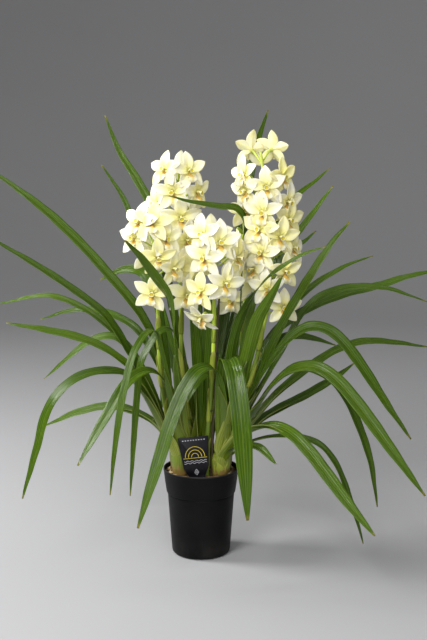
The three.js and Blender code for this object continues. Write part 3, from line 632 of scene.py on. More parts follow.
def sheath_material():
    """Dry scales at the foot of a bulb, and the bracts round flower stems."""
    s = Shade("sheath", 0.4, (0.15, (1.0, 0.9, 0.3), 0.003))
    across, along, share, tone = s.values()
    streak = s.noise((across * 8, along * 0.03, tone * 30), 1.8, 4)
    line = across.stripes(48, streak * 4)
    s.ramp(streak * 0.5 + tone * 0.5, (0.15, (0.15, 0.2, 0.012)), (0.5, (0.24, 0.29, 0.022)),
           (0.85, (0.36, 0.38, 0.055)))
    s.coat(line * 0.45, (0.15, 0.23, 0.015))
    brown = (share.step(0.3, 0) + (streak - 0.5) * 1.1).step(0.55, 0.95)
    tip = (share + (streak - 0.5) * 0.2).step(0.82, 1)
    s.coat(brown * 0.8, (0.28, 0.16, 0.05))
    s.coat(tip * 0.55, (0.45, 0.39, 0.12))
    return s.finish(streak.spread(0.42, 0.6), line * 0.6 + streak, 0.5, 0.0006)


def stem_material():
    s = Shade("flower_stem", 0.45, (0.2, (0.9, 1.0, 0.3), 0.003))
    across, along, share, tone = s.values()
    streak = s.noise((across * 3, along * 0.03, tone * 30), 2, 4)
    fleck = s.noise((across * 6, along * 0.5, tone * 30), 3, 2).step(0.6, 0.75, 0, 0.3)
    s.ramp(streak, (0.25, (0.3, 0.45, 0.035)), (0.5, (0.42, 0.56, 0.05)), (0.8, (0.54, 0.64, 0.09)))
    s.coat(fleck, (0.28, 0.3, 0.04))
    top, foot = share.step(0.75, 1, 0, 0.45), share.step(0.56, 0.4, 0, 0.8)
    s.coat(top, (0.6, 0.62, 0.17))
    s.coat(foot, (0.065, 0.115, 0.008))
    return s.finish(streak.spread(0.34, 0.48), streak, 0.3, 0.0006)


def tepal_material():
    s = Shade("tepal", 0.3, (0.4, (1.0, 0.88, 0.45), 0.003), sheen=0.08)
    across, _, share, tone = s.values()
    patch = s.noise((across, share * 3, tone * 60), 1.5)
    streak = s.noise((across * 7, share * 1.2, tone * 60), 1.8, 4)
    cream = (patch + (tone - 0.5) * 0.55).step(0.3, 0.85)
    s.colour = s.mix(cream, (0.97, 0.93, 0.71), (0.95, 0.865, 0.4))
    # Yellow towards the base is partly the tepal's own colour and partly painted shade, then green
    # at the foot.
    heart_and_shade = share + (patch - 0.5) * 0.3
    s.coat(heart_and_shade.step(0.7, 0.14, 0, 0.75), (0.92, 0.84, 0.24))
    s.coat(heart_and_shade.step(0.3, 0.04, 0, 0.6), (0.7, 0.72, 0.17))
    vein = across.stripes(34, streak * 6)
    s.coat(vein * share.step(1, 0.35, 0.25, 1) * 0.22, (0.86, 0.77, 0.36))
    midrib, tip = across.math("ABSOLUTE").step(0.16, 0.03, 0, 0.3), share.step(0.93, 1, 0, 0.3)
    s.coat(midrib, (0.9, 0.85, 0.42))
    s.coat(tip, (0.88, 0.86, 0.48))
    return s.finish(patch.spread(0.42, 0.56), vein * 0.5 + patch * 0.8, 0.3, 0.0008)


def lip_material():
    s = Shade("lip", 0.35, (0.3, (1.0, 0.8, 0.4), 0.002), sheen=0.1)
    across, _, share, tone = s.values()
    near = across.math("ABSOLUTE")
    grain = s.noise((across * 4, share * 8, tone * 60), 2.2)
    s.colour = s.mix(grain.spread(0, 1), (0.96, 0.93, 0.76), (0.94, 0.87, 0.55))
    s.coat((near + share * 0.5).step(0.9, 0.25, 0, 0.8), (0.88, 0.68, 0.1))
    # The gold-brown throat is partly the lip's own colour and partly painted shade under the
    # column.
    throat_and_shade = share.step(0.68, 0.38) * near.step(1, 0.45)
    s.coat((throat_and_shade * grain.step(0.15, 0.55, 0.7, 1.1)).clamped(), (0.6, 0.38, 0.05))
    # Painted shade: darker brown deep in the lip's base, below the column.
    deep_shade = share.step(0.4, 0.12) * near.step(0.75, 0.15)
    s.coat(deep_shade * 0.8, (0.28, 0.14, 0.02))
    cells = s.texture("Voronoi", (across * 5, share * 9, tone), scale=1.4)
    dots = cells.step(0.22, 0.12) * share.step(0.7, 0.4)
    s.coat(dots * 0.35, (0.6, 0.28, 0.04))
    return s.finish(0.5, grain, 0.5, 0.0008)


def column_material():
    s = Shade("column", 0.45, (0.3, (1.0, 0.85, 0.4), 0.002))
    across, _, share, tone = s.values()
    grain = s.noise((across * 2, share * 6, tone * 60), 2.5)
    s.colour = s.mix(share.step(0, 0.5), (0.68, 0.7, 0.18), (0.93, 0.84, 0.4))
    underside = across.step(0.1, 0.7, 0, 0.9)
    pale, gold = share.step(0.86, 0.9), share.step(0.93, 0.97)
    s.coat(underside, (0.62, 0.4, 0.04))
    s.coat(pale, (0.97, 0.94, 0.74))
    s.coat(gold, (0.6, 0.5, 0.02))
    s.coat(grain.step(0.55, 0.75) * 0.3, (0.7, 0.46, 0.05))
    return s.finish(grain.spread(0.35, 0.5), grain, 0.3, 0.0006)


def pot_material():
    s = Shade("black_plastic", 0.12)
    place = s.place()
    x, y, z = (s.node("SeparateXYZ", place, out=k) for k in range(3))
    grain, cloud = s.noise(place, 1400, 2), s.noise(place, 22, 4)
    streak = s.noise((y.math("ARCTAN2", x) * 60, z * 18, 0), 1, 4)
    s.ramp(cloud, (0.3, (0.0022, 0.0022, 0.0024)), (0.7, (0.0048, 0.0048, 0.0046)))
    # The lighter foot is dust. The thin band along the rim's top is a painted highlight.
    dust, rim_highlight = z.step(0.05, 0) * cloud.step(0.4, 0.65), z.step(0.1715, 0.1745)
    s.coat(dust * 0.3, (0.04, 0.036, 0.031))
    s.coat(rim_highlight * 0.55, (0.05, 0.048, 0.045))
    s.coat(streak.step(0.62, 0.8) * 0.3, (0.045, 0.043, 0.04))
    rough = cloud.spread(0.42, 0.56) + (streak - 0.5) * 0.14
    return s.finish(rough, grain + streak * 0.6, 0.28, 0.0004)


def bark_material():
    s = Shade("bark", 0.25)
    across, along, _, tone = s.values()
    grain = s.noise((across * 4, along * 0.12, tone * 50), 3, 5, 0.7)
    mixed = grain * 0.6 + s.noise(s.place(), 160, 5, 0.65) * 0.4
    s.ramp(mixed, (0.3, (0.035, 0.019, 0.009)), (0.5, (0.13, 0.07, 0.032)),
           (0.72, (0.31, 0.2, 0.1)))
    s.coat(tone * 0.45, (0.34, 0.235, 0.12))
    return s.finish(mixed.spread(0.75, 0.95), mixed, 0.9, 0.0015)


def medium_material():
    s = Shade("medium", 0.2)
    place = s.place()
    mixed = s.noise(place, 130, 6, 0.7) * 0.7 + s.texture("Voronoi", place, scale=190) * 0.5
    s.ramp(mixed, (0.35, (0.014, 0.009, 0.005)), (0.6, (0.07, 0.04, 0.02)),
           (0.85, (0.2, 0.125, 0.06)))
    return s.finish(0.9, mixed, 1, 0.003)


def stick_material(name, specular, scales, rough, bump, *stops):
    """A plain material with a grain that runs along a root or a stake."""
    s = Shade(name, specular)
    across, along, _, tone = s.values()
    grain = s.noise(tuple(v * k for v, k in zip((across, along, tone), scales)), 2.5, 4)
    s.ramp(grain, *stops)
    return s.finish(grain.spread(*rough), grain, *bump)


def root_material():
    return stick_material("root", 0.3, (3, 0.3, 50), (0.8, 0.8), (0.7,), (0.3, (0.28, 0.2, 0.1)),
                          (0.55, (0.5, 0.4, 0.22)), (0.8, (0.62, 0.56, 0.38)))


def cane_material():
    return stick_material("cane", 0.4, (5, 0.05, 1), (0.45, 0.65), (0.5, 0.0006),
                          (0.3, (0.022, 0.016, 0.009)), (0.7, (0.075, 0.052, 0.026)))


def tie_material():
    s = Shade("tie", 0.4)
    grain = s.noise(s.place(), 900)
    s.ramp(grain, (0.3, (0.012, 0.016, 0.01)), (0.7, (0.035, 0.045, 0.026)))
    return s.finish(grain.spread(0.5, 0.7), grain, 0.4, 0.0004)


def label_material():
    s = Shade("label_plate", 0.22)
    place = s.place()
    cloud = s.noise(place, 60)
    scuff = s.noise(s.node("Mapping", place, named={"Scale": (900, 900, 60)}), 1)
    s.colour = s.mix(cloud.step(0.35, 0.65), (0.004, 0.0036, 0.006), (0.009, 0.008, 0.012))
    s.coat(scuff.step(0.68, 0.8) * 0.4, (0.03, 0.03, 0.034))
    return s.finish(cloud.spread(0.4, 0.52), scuff, 0.08, 0.0003)


def ink_material(name, light, dark):
    s = Shade(name, 0.4)
    grain = s.noise(s.place(), 1500)
    s.colour = s.mix(grain.step(0.35, 0.65), light, dark)
    return s.finish(grain.spread(0.35, 0.5))


def floor_material():
    s = Shade("floor", 0.3)
    s.colour = s.mix(s.noise(s.place(), 1.2, 2), (0.37, 0.37, 0.375), (0.4, 0.4, 0.405))
    return s.finish(0.65)


# Leaves and bulbs

def leaf_path(at, towards, arch):
    out = facing(towards)
    left = left_of(out)
    places = [(*p, 0)[:3] for p in (LEAF.root, *arch)]
    points = [np.array([*at, h]) + out * r + left * shift for r, h, shift in places]
    return out, left, Path(points)


def add_leaf(shells, at, rng, towards, width, arch, turn=None, turns_at=0.1, turns_over=0.4,
             tip_turn=None):
    """A strap leaf. Its blade turns about its own line by turn degrees, at the tip by tip_turn."""
    out, left, path = leaf_path(at, towards, arch)
    share = steps(max(40, int(path.length / 5)))
    mid, along = path.at(share), path.along(share)
    phase = rng.uniform(0, FULL_TURN, 4)
    turn = LEAF.turn * out[0] if turn is None else turn
    twist = 0 if tip_turn is None else tip_turn - turn
    angle = np.radians(turn * ease(share, turns_at, turns_at + turns_over)
                       + twist * ease(share, 0.5, 0.8))
    angle += np.radians(4) * np.sin(7 * share + phase[0]) * ease(share, 0.25, 0.6)
    side = rotated(np.broadcast_to(left, mid.shape), along, angle)
    side = unit(side - along * np.sum(side * along, -1, keepdims=True))
    opening = (LEAF.tip_fold - LEAF.root_fold) * ease(share, 0, 0.45)
    fold = np.radians(LEAF.root_fold + opening + 3 * np.sin(9 * share + phase[1]))
    base = 0.62 + 0.38 * ease(share, 0, 0.3)
    half = np.maximum(width * base * narrowing(share, 0.7) / 2, 0.4)
    run = share * path.length
    a = span(11)
    edge = np.where(a < 0, np.sin(run[:, None] / 9.5 + phase[2]),
                    np.sin(run[:, None] / 8.3 + phase[3]))
    pleat = 0.5 * np.sin(pi * np.abs(a)) * np.minimum(half, 8)[:, None] / 8
    ripple = LEAF.ripple * np.abs(a) ** 3 * edge * ease(share, 0.15, 0.5)[:, None] + pleat
    thickness = LEAF.thickness - 0.6 * ease(share, 0, 0.5) - 0.35 * ease(share, 0.5, 1)
    rings, across = blade(mid, side, np.cross(along, side), half, fold, thickness, 10, ripple)
    paler_below = 0.3 * np.repeat([0.0, 1.0], len(a))
    shells.add(rings, 0, across, run, share, rng.uniform() + paler_below)


def add_bulb(shells, at, rng):
    profile, sides = rounded(BULB, 9, 5), 48
    phase = rng.uniform(0, 6)
    rings = lathe_rings(profile, sides, at,
                        lambda angle: 1 + 0.02 * np.sin(9 * angle + phase) - 0.02)
    share = np.linspace(0.1, 0.8, len(rings))
    shells.add(rings, 1, span(sides), rings[..., 2], share, rng.uniform())
    start = rng.uniform(0, 360)
    for k in range(3):
        height = rng.uniform(26, 44)
        add_scale(shells, at, rng, start + 128 * k, 164 + 2 * k, height, profile, 1.6 + 0.5 * k)


def add_scale(shells, at, rng, azimuth, foot, height, profile, clear):
    """A dry pointed scale at the foot of a bulb."""
    share = steps(16)
    a = span(15)
    z = foot + height * share
    half = np.radians(rng.uniform(60, 80)) * (1 - ease(share, 0.35, 1.05))
    half = np.maximum(half * (0.9 + 0.1 * np.sin(3 * share)), 0.02)
    angle = radians(azimuth) + half[:, None] * a
    bulb = np.interp(np.minimum(z, 222), profile[:, 1], profile[:, 0])
    inner = np.maximum(bulb, 10)[:, None] + clear
    flare = np.clip(share - 0.7, 0, 1)[:, None] ** 1.3
    inner = inner + 0.1 * rng.uniform(0.5, 1.4) * height * flare
    inner = inner + 0.25 * np.sin(14 * angle + azimuth)
    centre = np.stack([at[0] + 0 * z, at[1] + 0 * z, z], -1)
    rings = closed(bent_row(centre, inner + 0.7, angle), bent_row(centre, inner, angle))
    shells.add(rings, 2, there_and_back(a), z, share, rng.uniform())


def bent_row(centre, radius, angle):
    """Rows of points round a line, level with it."""
    return np.stack([centre[:, :1] + radius * np.cos(angle),
                     centre[:, 1:2] + radius * np.sin(angle), centre[:, 2:] + 0 * angle], -1)


def add_clasp(shells, at, rng, leaf, layer):
    """A leaf's pale base, which wraps the bulb and then runs out along the leaf's underside."""
    out, left, path = leaf_path(at, leaf["towards"], leaf["arch"])
    axis = np.array([*at, 0.0])
    start = path.run[np.argmax(path.points[:, 2] > 226)] / path.length
    reach = min(start + rng.uniform(120, 190) / path.length, 0.55)
    clear = 0.7 * layer
    low = [axis + out * (r + clear) + UP * z for r, z in [(14.2, 166), (17.8, 186), (18.2, 204)]]
    line = Path([*low, *path.at(np.linspace(start, reach, 5))])
    share = steps(30)
    mid, along = line.at(share), line.along(share, 0.02)
    side = np.broadcast_to(left, mid.shape)
    normal = unit(np.cross(along, side))
    mid = mid - normal * (1.6 + 0.4 * layer) * ease(share, 0.3, 0.55)[:, None]
    wraps = [16 + clear, 17 + clear, 0.62 * leaf["width"], 0.56 * leaf["width"]]
    wrap = np.interp(share, [0, 0.3, 0.5, 1], wraps)[:, None]
    half = np.radians(np.interp(share, [0, 0.3, 0.55, 1], [74, 78, 70, 62]))
    half = half * narrowing(share, 0.62)
    a = span(13)
    turn = np.maximum(half, 0.03)[:, None] * a
    ripple = 0.2 * np.sin(30 * share[:, None] + 3 * a + rng.uniform(0, 6))
    sheet = mid[:, None] + side[:, None] * (wrap * np.sin(turn))[..., None]
    lift = wrap * (1 - np.cos(turn)) + ripple * np.abs(a)
    top, under = (sheet + normal[:, None] * (lift + h)[..., None] for h in (0.35, -0.45))
    shells.add(closed(top, under), 1, there_and_back(a), line.length * share, share, rng.uniform())


# Flower stems

def spike_path(spike):
    x, y, _ = spike["path"][0]
    return Path([(x, y, STEM.foot), (x, y, MEDIUM.top + 12), *spike["path"]])


def stem_radius(path, height):
    heights, radii = [STEM.foot, path.points[-1, 2]], [STEM.foot_radius, STEM.tip_radius]
    return np.interp(height, heights, radii)


def bloom_pose(path, bloom, index):
    """A bloom's hub, its axes (across, towards its top, forward) and its size."""
    height, faces, tilt, stands, roll = (*bloom, None, None)[:5]
    forward = facing(faces + 5 * wave(index, 1), tilt + 4 * wave(index, 2))
    across = unit(np.cross(UP, forward))
    across = rotated(across, forward, np.radians(9 * wave(index, 3) if roll is None else roll))
    level = unit(forward * (1, 1, 0)) if stands is None else facing(stands)
    reach = BLOOM.reach
    hub = path.at_height(height) + level * reach * 0.6 + forward * reach * 0.4
    hub[2] = height + reach * 0.4 * forward[2]
    axes = np.stack([across, np.cross(forward, across), forward], -1)
    return hub, axes, 1 + 0.05 * wave(index, 4)


def add_stem(shells, path, rng, sides=16):
    share = np.r_[steps(int(path.length / 5)), 1.0]
    mid = path.at(share)
    radius = stem_radius(path, mid[:, 2]) * (1 + 0.03 * np.sin(share * path.length / 11))
    radius[-1] *= 0.3
    mid[-1] += path.along(1.0) * 0.8
    rings = round_rings(mid, path.along(share), radius, sides)
    shells.add(rings, 0, round_trip(sides), share * path.length, share, rng.uniform())


def add_stalk(shells, path, bloom, pose, rng):
    hub, axes, size = pose
    forward = axes[:, 2]
    start = path.at_height(bloom[0] - BLOOM.drop)
    back = hub - forward * (BLOOM.hub_back * size + BLOOM.seat_gap)
    bend = back - forward * 9 - UP * 1.5
    line = Path([start, start * 0.5 + bend * 0.5 - UP * 1.2, bend, back + forward * 1.2])
    share = steps(16)
    radius = 1.55 + 0.9 * ease(share, 0.35, 0.8) + 0.25 * ease(share, 0.85, 1)
    ribs = lambda angle: 1 + 0.05 * np.cos(6 * angle)
    add_rod(shells, line, share, radius, 12, rng, 0.03, ribs, 0.6 + 0.45 * share)
    length, clear = rng.uniform(8, 12), stem_radius(path, start[2])
    add_bract(shells, start, unit(bend - start), clear, length, 4.5, rng)


def add_bract(shells, at, lean, clear, length, width, rng):
    """A small pointed scale below a flower's stalk."""
    out = unit(lean * (1, 1, 0))
    foot = at + out * clear * 0.7 - UP * 2.5
    bends = [(0, 0), (0.22, 0.4), (0.62, 0.8)]
    line = Path([foot + out * length * r + UP * length * z for r, z in bends])
    share = steps(7)
    mid, along = line.at(share), line.along(share, 0.05)
    side = np.broadcast_to(left_of(out), mid.shape)
    half = np.maximum(width / 2 * np.sqrt(np.clip(1 - share**2.2, 0, 1)), 0.25)
    fold, thickness = np.full(7, radians(-30)), np.full(7, 0.7)
    rings, across = blade(mid, side, np.cross(side, along), half, fold, thickness, 4)
    shells.add(rings, 1, across, share * length, share, rng.uniform())


def add_wrap(shells, path, foot, length, azimuth, rng):
    """A papery sheath round a flower stem. It opens upwards into a point."""
    share = steps(18)
    a = span(17)
    mid = path.at_height(foot + length * share)
    half = np.radians(172) * (1 - 0.25 * ease(share, 0.1, 0.5)) * narrowing(share, 0.4)
    angle = radians(azimuth) + np.maximum(half, 0.05)[:, None] * a
    swell = 0.5 + 0.5 * np.sin(pi * np.clip(share * 0.9, 0, 1)) + 1.6 * ease(share, 0.7, 1)
    inner = (stem_radius(path, mid[:, 2]) + 0.15 + swell * ease(share, 0, 0.12))[:, None]
    rings = closed(bent_row(mid, inner + WRAP.thickness, angle), bent_row(mid, inner, angle))
    shells.add(rings, 1, there_and_back(a), length * share, 0.3 + 0.7 * share, rng.uniform())


def add_bud(shells, path, bud, rng, sides=18):
    height, faces, tilt = bud
    forward = facing(faces, tilt)
    share, radius = np.array(BUD_SHAPE).T
    run = BUD.length * share
    mid = path.at_height(height - BUD.drop) + forward * BUD.length * share[:, None]
    rings = round_rings(mid, np.broadcast_to(forward, mid.shape), radius, sides,
                        lambda angle: 1 + 0.06 * np.abs(np.cos(1.5 * angle)))
    shells.add(rings, 0, round_trip(sides), run, 0.2 + 0.5 * share, rng.uniform())


# Blooms

def add_tepal(shells, rng, turn, length, width, cup, tone):
    t = steps(18)
    share = 0.05 + 0.95 * (1 - (1 - t) ** 1.25)
    length *= rng.uniform(0.95, 1.02)
    cup += rng.uniform(-0.05, 0.05)
    reach = length * share
    angle = radians(turn + rng.uniform(-4, 4))
    out, ahead = np.array([sin(angle), cos(angle), 0.0]), np.array([0.0, 0, 1])
    curl = rng.uniform(-1.6, 2.4) * ease(share, 0.6, 1)
    mid = out * reach[:, None] + ahead * (cup * reach * (1.3 - share) + curl)[:, None]
    along = unit(np.gradient(mid, axis=0))
    side = np.array([out[1], -out[0], 0.0])
    side = rotated(np.broadcast_to(side, mid.shape), along, np.radians(rng.uniform(-9, 9)) * share)
    shape = np.interp(share, *np.array(TEPAL_SHAPE).T)
    half = np.maximum(width / 2 * shape * rng.uniform(0.95, 1.03), 0.35)
    fold = np.radians(30 - 14 * ease(share, 0, 0.7) + rng.uniform(-6, 6))
    a = span(11)
    ripple = 0.35 * np.abs(a) ** 2.5 * np.sin(9 * share[:, None] + 2 * a + rng.uniform(0, 6))
    ripple = ripple - 0.5 * a**4 * ease(share, 0.3, 0.9)[:, None] * rng.uniform(0, 2.4)
    thickness = 1.5 - 0.7 * ease(share, 0, 0.6)
    rings, across = blade(mid, side, np.cross(side, along), half, fold, thickness, 10, ripple)
    behind = np.repeat([0.0, 0.5], len(a))
    shells.add(rings, 0, across, reach, share[:, None] * (1 - behind) + behind, tone)


def add_lip(shells, rng, tone):
    share = steps(26)
    knots = steps(len(LIP))
    y, z, half, fold = (np.interp(share, knots, column) for column in np.array(LIP).T)
    for _ in range(2):
        for v in (y, z, half):
            v[1:-1] = (v[:-2] + 2 * v[1:-1] + v[2:]) / 4
    mid = np.stack([0 * y, y + rng.uniform(-0.8, 0.8) * share, z], -1)
    along = unit(np.gradient(mid, axis=0))
    side = np.broadcast_to(np.array([1.0, 0, 0]), mid.shape)
    a = span(13)
    frill = 0.55 * np.abs(a) ** 3 * np.sin(26 * share[:, None] + 5 * a + rng.uniform(0, 6))
    frill = frill * ease(share, 0.5, 0.7)[:, None]
    keels = 0.9 * np.exp(-((np.abs(a) - 0.24) / 0.09) ** 2) * (1 - ease(share, 0.42, 0.56))[:, None]
    rings, across = blade(mid, side, np.cross(side, along), half, np.radians(fold),
                          1.0 - 0.3 * share, 12, frill, keels)
    shells.add(rings, 1, across, 22 * share, share, tone)


def add_column(shells, tone):
    """The column over the lip, with its cap, and the hub behind the tepals."""
    angle = circle(14)
    level = np.stack([np.cos(angle), np.sin(angle), 0 * angle], -1)
    path = Path([(0, -0.4, -1), (0, 0.9, 4), (0, 1.1, 9), (0, 0.2, 13.2)])
    share = steps(9)
    radius = np.interp(share, [0, 0.3, 0.8, 1], [3.2, 2.4, 2.7, 2.2])
    flat_below = np.stack([np.ones(14), np.where(np.sin(angle) < 0, 0.62, 1.0), np.ones(14)], -1)
    rings = path.at(share)[:, None] + radius[:, None, None] * (level * flat_below)
    shells.add(rings, 2, np.clip(-np.sin(angle), 0, 1), 14 * share, 0.85 * share, tone)
    z, radius = np.array(CAP).T
    middle = np.stack([0.05 + 0 * z, 0.25 - 0.05 * z, z], -1)
    rings = middle[:, None] + radius[:, None, None] * (level * (1, 0.9, 1))
    shells.add(rings, 2, share=np.where(np.arange(len(CAP)) < 6, 0.9, 1.0), tone=tone)
    z, radius = np.array(HUB).T
    rings = z[:, None, None] * UP + radius[:, None, None] * level
    shells.add(rings, 2, share=0.05, tone=tone)


def bloom_shells(rng):
    shells = Shells()
    tone = rng.uniform()
    for tepal in TEPALS:
        add_tepal(shells, rng, *tepal, tone)
    add_lip(shells, rng, tone)
    add_column(shells, tone)
    return shells


def node_points(name):
    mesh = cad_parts[name].data
    flat = np.empty(len(mesh.vertices) * 3, np.float32)
    mesh.vertices.foreach_get("co", flat)
    return flat.reshape(-1, 3) / MM


# Pot, medium, label, stakes

def pot_shells():
    shells = Shells()
    shells.add(lathe_rings(rounded(POT, 1.2), 160))
    return shells


def cut_holes(made):
    """Bores the drainage holes through the pot's floor."""
    drill = Shells()
    for k in range(HOLES.count):
        angle = FULL_TURN * (k + 0.5) / HOLES.count
        centre = (HOLES.circle * cos(angle), HOLES.circle * sin(angle))
        drill.add(lathe_rings([(HOLES.radius, -3), (HOLES.radius, 6)], 32, centre))
    tool = mesh_object("drill", np.vstack(drill.points) * MM, drill.faces)
    cut = made.modifiers.new("holes", "BOOLEAN")
    cut.object, cut.operation, cut.solver = tool, "DIFFERENCE", "EXACT"
    solved = made.evaluated_get(bpy.context.evaluated_depsgraph_get())
    done = bpy.data.meshes.new_from_object(solved)
    made.modifiers.clear()
    made.data = done
    made.data.set_sharp_from_angle(angle=radians(35))
    bpy.data.objects.remove(tool)


def add_chip(shells, rng, x, y, rows=6, sides=9):
    """A chip of bark that lies on the medium, a little tipped."""
    length, width, thick = rng.uniform(9, 19), rng.uniform(5, 9), rng.uniform(2.2, 4)
    share = span(rows)
    angle = circle(sides) + rng.uniform(0, 1)
    wide = np.sqrt(np.clip(1 - np.abs(share) ** 3.5, 0.05, 1))[:, None]
    jag = 1 + 0.22 * rng.standard_normal((rows, sides)).clip(-1.5, 1.5)
    local = np.stack([length / 2 * share[:, None] + 0.8 * rng.standard_normal((rows, sides)),
                      width / 2 * wide * np.cos(angle) * jag,
                      thick / 2 * wide * np.sin(angle) * jag], -1)
    turn, lean, roll = rng.uniform(0, FULL_TURN), rng.uniform(-0.16, 0.16), rng.uniform(-0.3, 0.3)
    spin = [[cos(turn), -sin(turn), 0], [sin(turn), cos(turn), 0], [0, 0, 1]]
    tip = [[cos(lean), 0, sin(lean)], [0, 1, 0], [-sin(lean), 0, cos(lean)]]
    rock = [[1, 0, 0], [0, cos(roll), -sin(roll)], [0, sin(roll), cos(roll)]]
    turned = local @ (np.array(spin) @ (np.array(tip) @ rock)).T
    rings = turned + np.array([x, y, MEDIUM.top + rng.uniform(0.2, 2.4)])
    shells.add(rings, 0, round_trip(sides), length * share, tone=rng.uniform())


def bark_chips(rng, bulbs, stems):
    """Chips all over the medium, clear of what stands in it. Those past its edge are drawn back."""
    shells, edge = Shells(), MEDIUM.edge
    for _ in range(MEDIUM.tries):
        if len(shells.points) == MEDIUM.chips:
            break
        r, t = (edge + 4) * sqrt(rng.uniform()), rng.uniform(0, FULL_TURN)
        x, y = r * cos(t), r * sin(t)
        near_bulb = any(hypot(x - u, y - v) < CLEAR.bulb for u, v in bulbs)
        near_stem = any(hypot(x - u, y - v) < CLEAR.stem for u, v in stems)
        near_label = (abs(x - LABEL.at[0]) < CLEAR.label_x
                      and abs(y - LABEL.y_in_medium) < CLEAR.label_y)
        if near_label or (r <= edge and (near_bulb or near_stem)):
            continue
        if r > edge:
            x, y = edge * x / r, edge * y / r
        add_chip(shells, rng, x, y)
    return shells


def surface_roots(rng, bulbs):
    """Roots that leave the bulbs, wander over the medium and go down into it."""
    shells, edge = Shells(), MEDIUM.root_edge
    for k, (x, y) in enumerate(bulbs * 2):
        t = atan2(y, x) + rng.uniform(-1.1, 1.1)
        points = [(x + 11 * cos(t), y + 11 * sin(t), MEDIUM.top + 6)]
        for above in (3.2, 3.2, 3.2, 1.0, -0.5):
            t += rng.uniform(-0.7, 0.7)
            x, y = points[-1][0] + 8 * cos(t), points[-1][1] + 8 * sin(t)
            far = hypot(x, y)
            if far > edge:
                x, y, t = x * edge / far, y * edge / far, t + 1.2
            points.append((x, y, MEDIUM.top + above))
        path = Path(points)
        share = steps(26)
        add_rod(shells, path, share, 1.7 + 0.2 * np.sin(20 * share + k), 10, rng, 0.03)
    return shells


def on_label(u, v, w):
    """A point of the label from its own width, height and depth, where w is towards the front."""
    x, y, z = u, -w, v
    a, b = radians(LABEL.lean), radians(-LABEL.back)
    x, z = x * cos(a) + z * sin(a), -x * sin(a) + z * cos(a)
    y, z = y * cos(b) - z * sin(b), y * sin(b) + z * cos(b)
    return np.stack([x, y, z], -1) + LABEL.at


def label_plate():
    half, waist, strip = LABEL.width / 2, LABEL.waist / 2, LABEL.neck / 2
    total, head = LABEL.total, LABEL.total - LABEL.shoulder
    right = [(0, 0), (strip, 0), (strip, head - 18), (waist, head), (half, total - 1),
             (half - 1, total)]
    left = [(-x, z) for x, z in right[::-1]]
    # The doubled point keeps its corner sharp.
    outline = rounded([*right, left[0], *left], 2.6, 5)[:-1]
    ahead, behind = np.roll(outline, -1, 0) - outline, outline - np.roll(outline, 1, 0)
    along = unit(unit(ahead) + unit(behind))
    inward = np.stack([-along[:, 1], along[:, 0]], -1)
    t = LABEL.thickness / 2
    rings = []
    front = [(0.3, -t), (0.05, 0.2 - t), (0, 0.35 - t)]
    for inset, w in [*front, *((i, -w) for i, w in front[::-1])]:
        u, v = (outline + inward * inset).T
        rings.append(on_label(u, v, np.full(len(u), w)))
    shells = Shells()
    shells.add(np.array(rings))
    return shells


def add_line(shells, points, width, slot):
    """A flat printed line on the label's front."""
    p = np.array(points, float)
    along = unit(np.gradient(p, axis=0))
    side = np.stack([-along[:, 1], along[:, 0]], -1) * width / 2
    low, high = (np.full(len(p), LABEL.thickness / 2 + d) for d in (-0.1, 0.06))
    corners = [(p + side, low), (p - side, low), (p - side, high), (p + side, high)]
    shells.add(np.stack([on_label(*q.T, w) for q, w in corners], 1), slot)


def label_print():
    """A plain pattern: nested arches over two waves, with short bars above and a lozenge below."""
    shells = Shells()
    gold, pale = 0, 1
    bow = np.linspace(0, pi, 28)
    for radius in (7, 13, 19):
        arch = np.stack([radius * np.cos(bow), 88 + radius * 1.08 * np.sin(bow)], -1)
        add_line(shells, arch, 1.1, gold)
    add_line(shells, [(-23, 86.2), (0, 86.2), (23, 86.2)], 0.9, gold)
    u = np.linspace(-22, 22, 60)
    for v in (80.5, 76.5):
        add_line(shells, np.stack([u, v + 1.1 * np.sin(u * 0.72)], -1), 0.8, pale)
    for k in range(9):
        add_line(shells, [(-22 + 5.2 * k, 121.5), (-19.4 + 5.2 * k, 121.5)], 1.7, pale)
    for size in (4.2, 1.8):
        corner = [(size, 58), (0, 58 + size * 1.4), (-size, 58), (0, 58 - size * 1.4), (size, 58)]
        for ends in zip(corner, corner[1:]):
            add_line(shells, ends, 0.8, pale)
    return shells


def stake_line(path, beside, ties):
    """The straight line of a stake beside a stem, as a point for each height."""
    side = facing(beside)
    clear = lambda z: side * (stem_radius(path, z) + STAKE.radius + STAKE.slack)
    upper = path.at_height(ties[-1]) + clear(ties[-1])
    lower = path.at_height(MEDIUM.top) + clear(MEDIUM.top - 80)
    along = unit(upper - lower)
    return lambda z: lower + along * (z - lower[2]) / along[2]


def stake_shells(line, top, rng, sides=14):
    foot, head = line(STAKE.foot), line(top)
    along, length = unit(head - foot), np.linalg.norm(head - foot)
    share = np.r_[steps(60), 1.0]
    mid = foot + (head - foot) * share[:, None]
    mid[-2] -= along * 0.5
    radius = STAKE.radius * (0.97 + 0.03 * np.sin(share * 37))
    radius[-2:] = [STAKE.radius * 0.85, STAKE.radius * 0.3]
    rings = round_rings(mid, np.broadcast_to(along, mid.shape), radius, sides)
    shells = Shells()
    shells.add(rings, 0, round_trip(sides), share * length, share, rng.uniform())
    return shells


def add_wire(shells, points, rows, reach):
    path, share = Path(points), steps(rows)
    shells.add(round_rings(path.at(share), path.along(share, reach), WIRE.radius, 8))


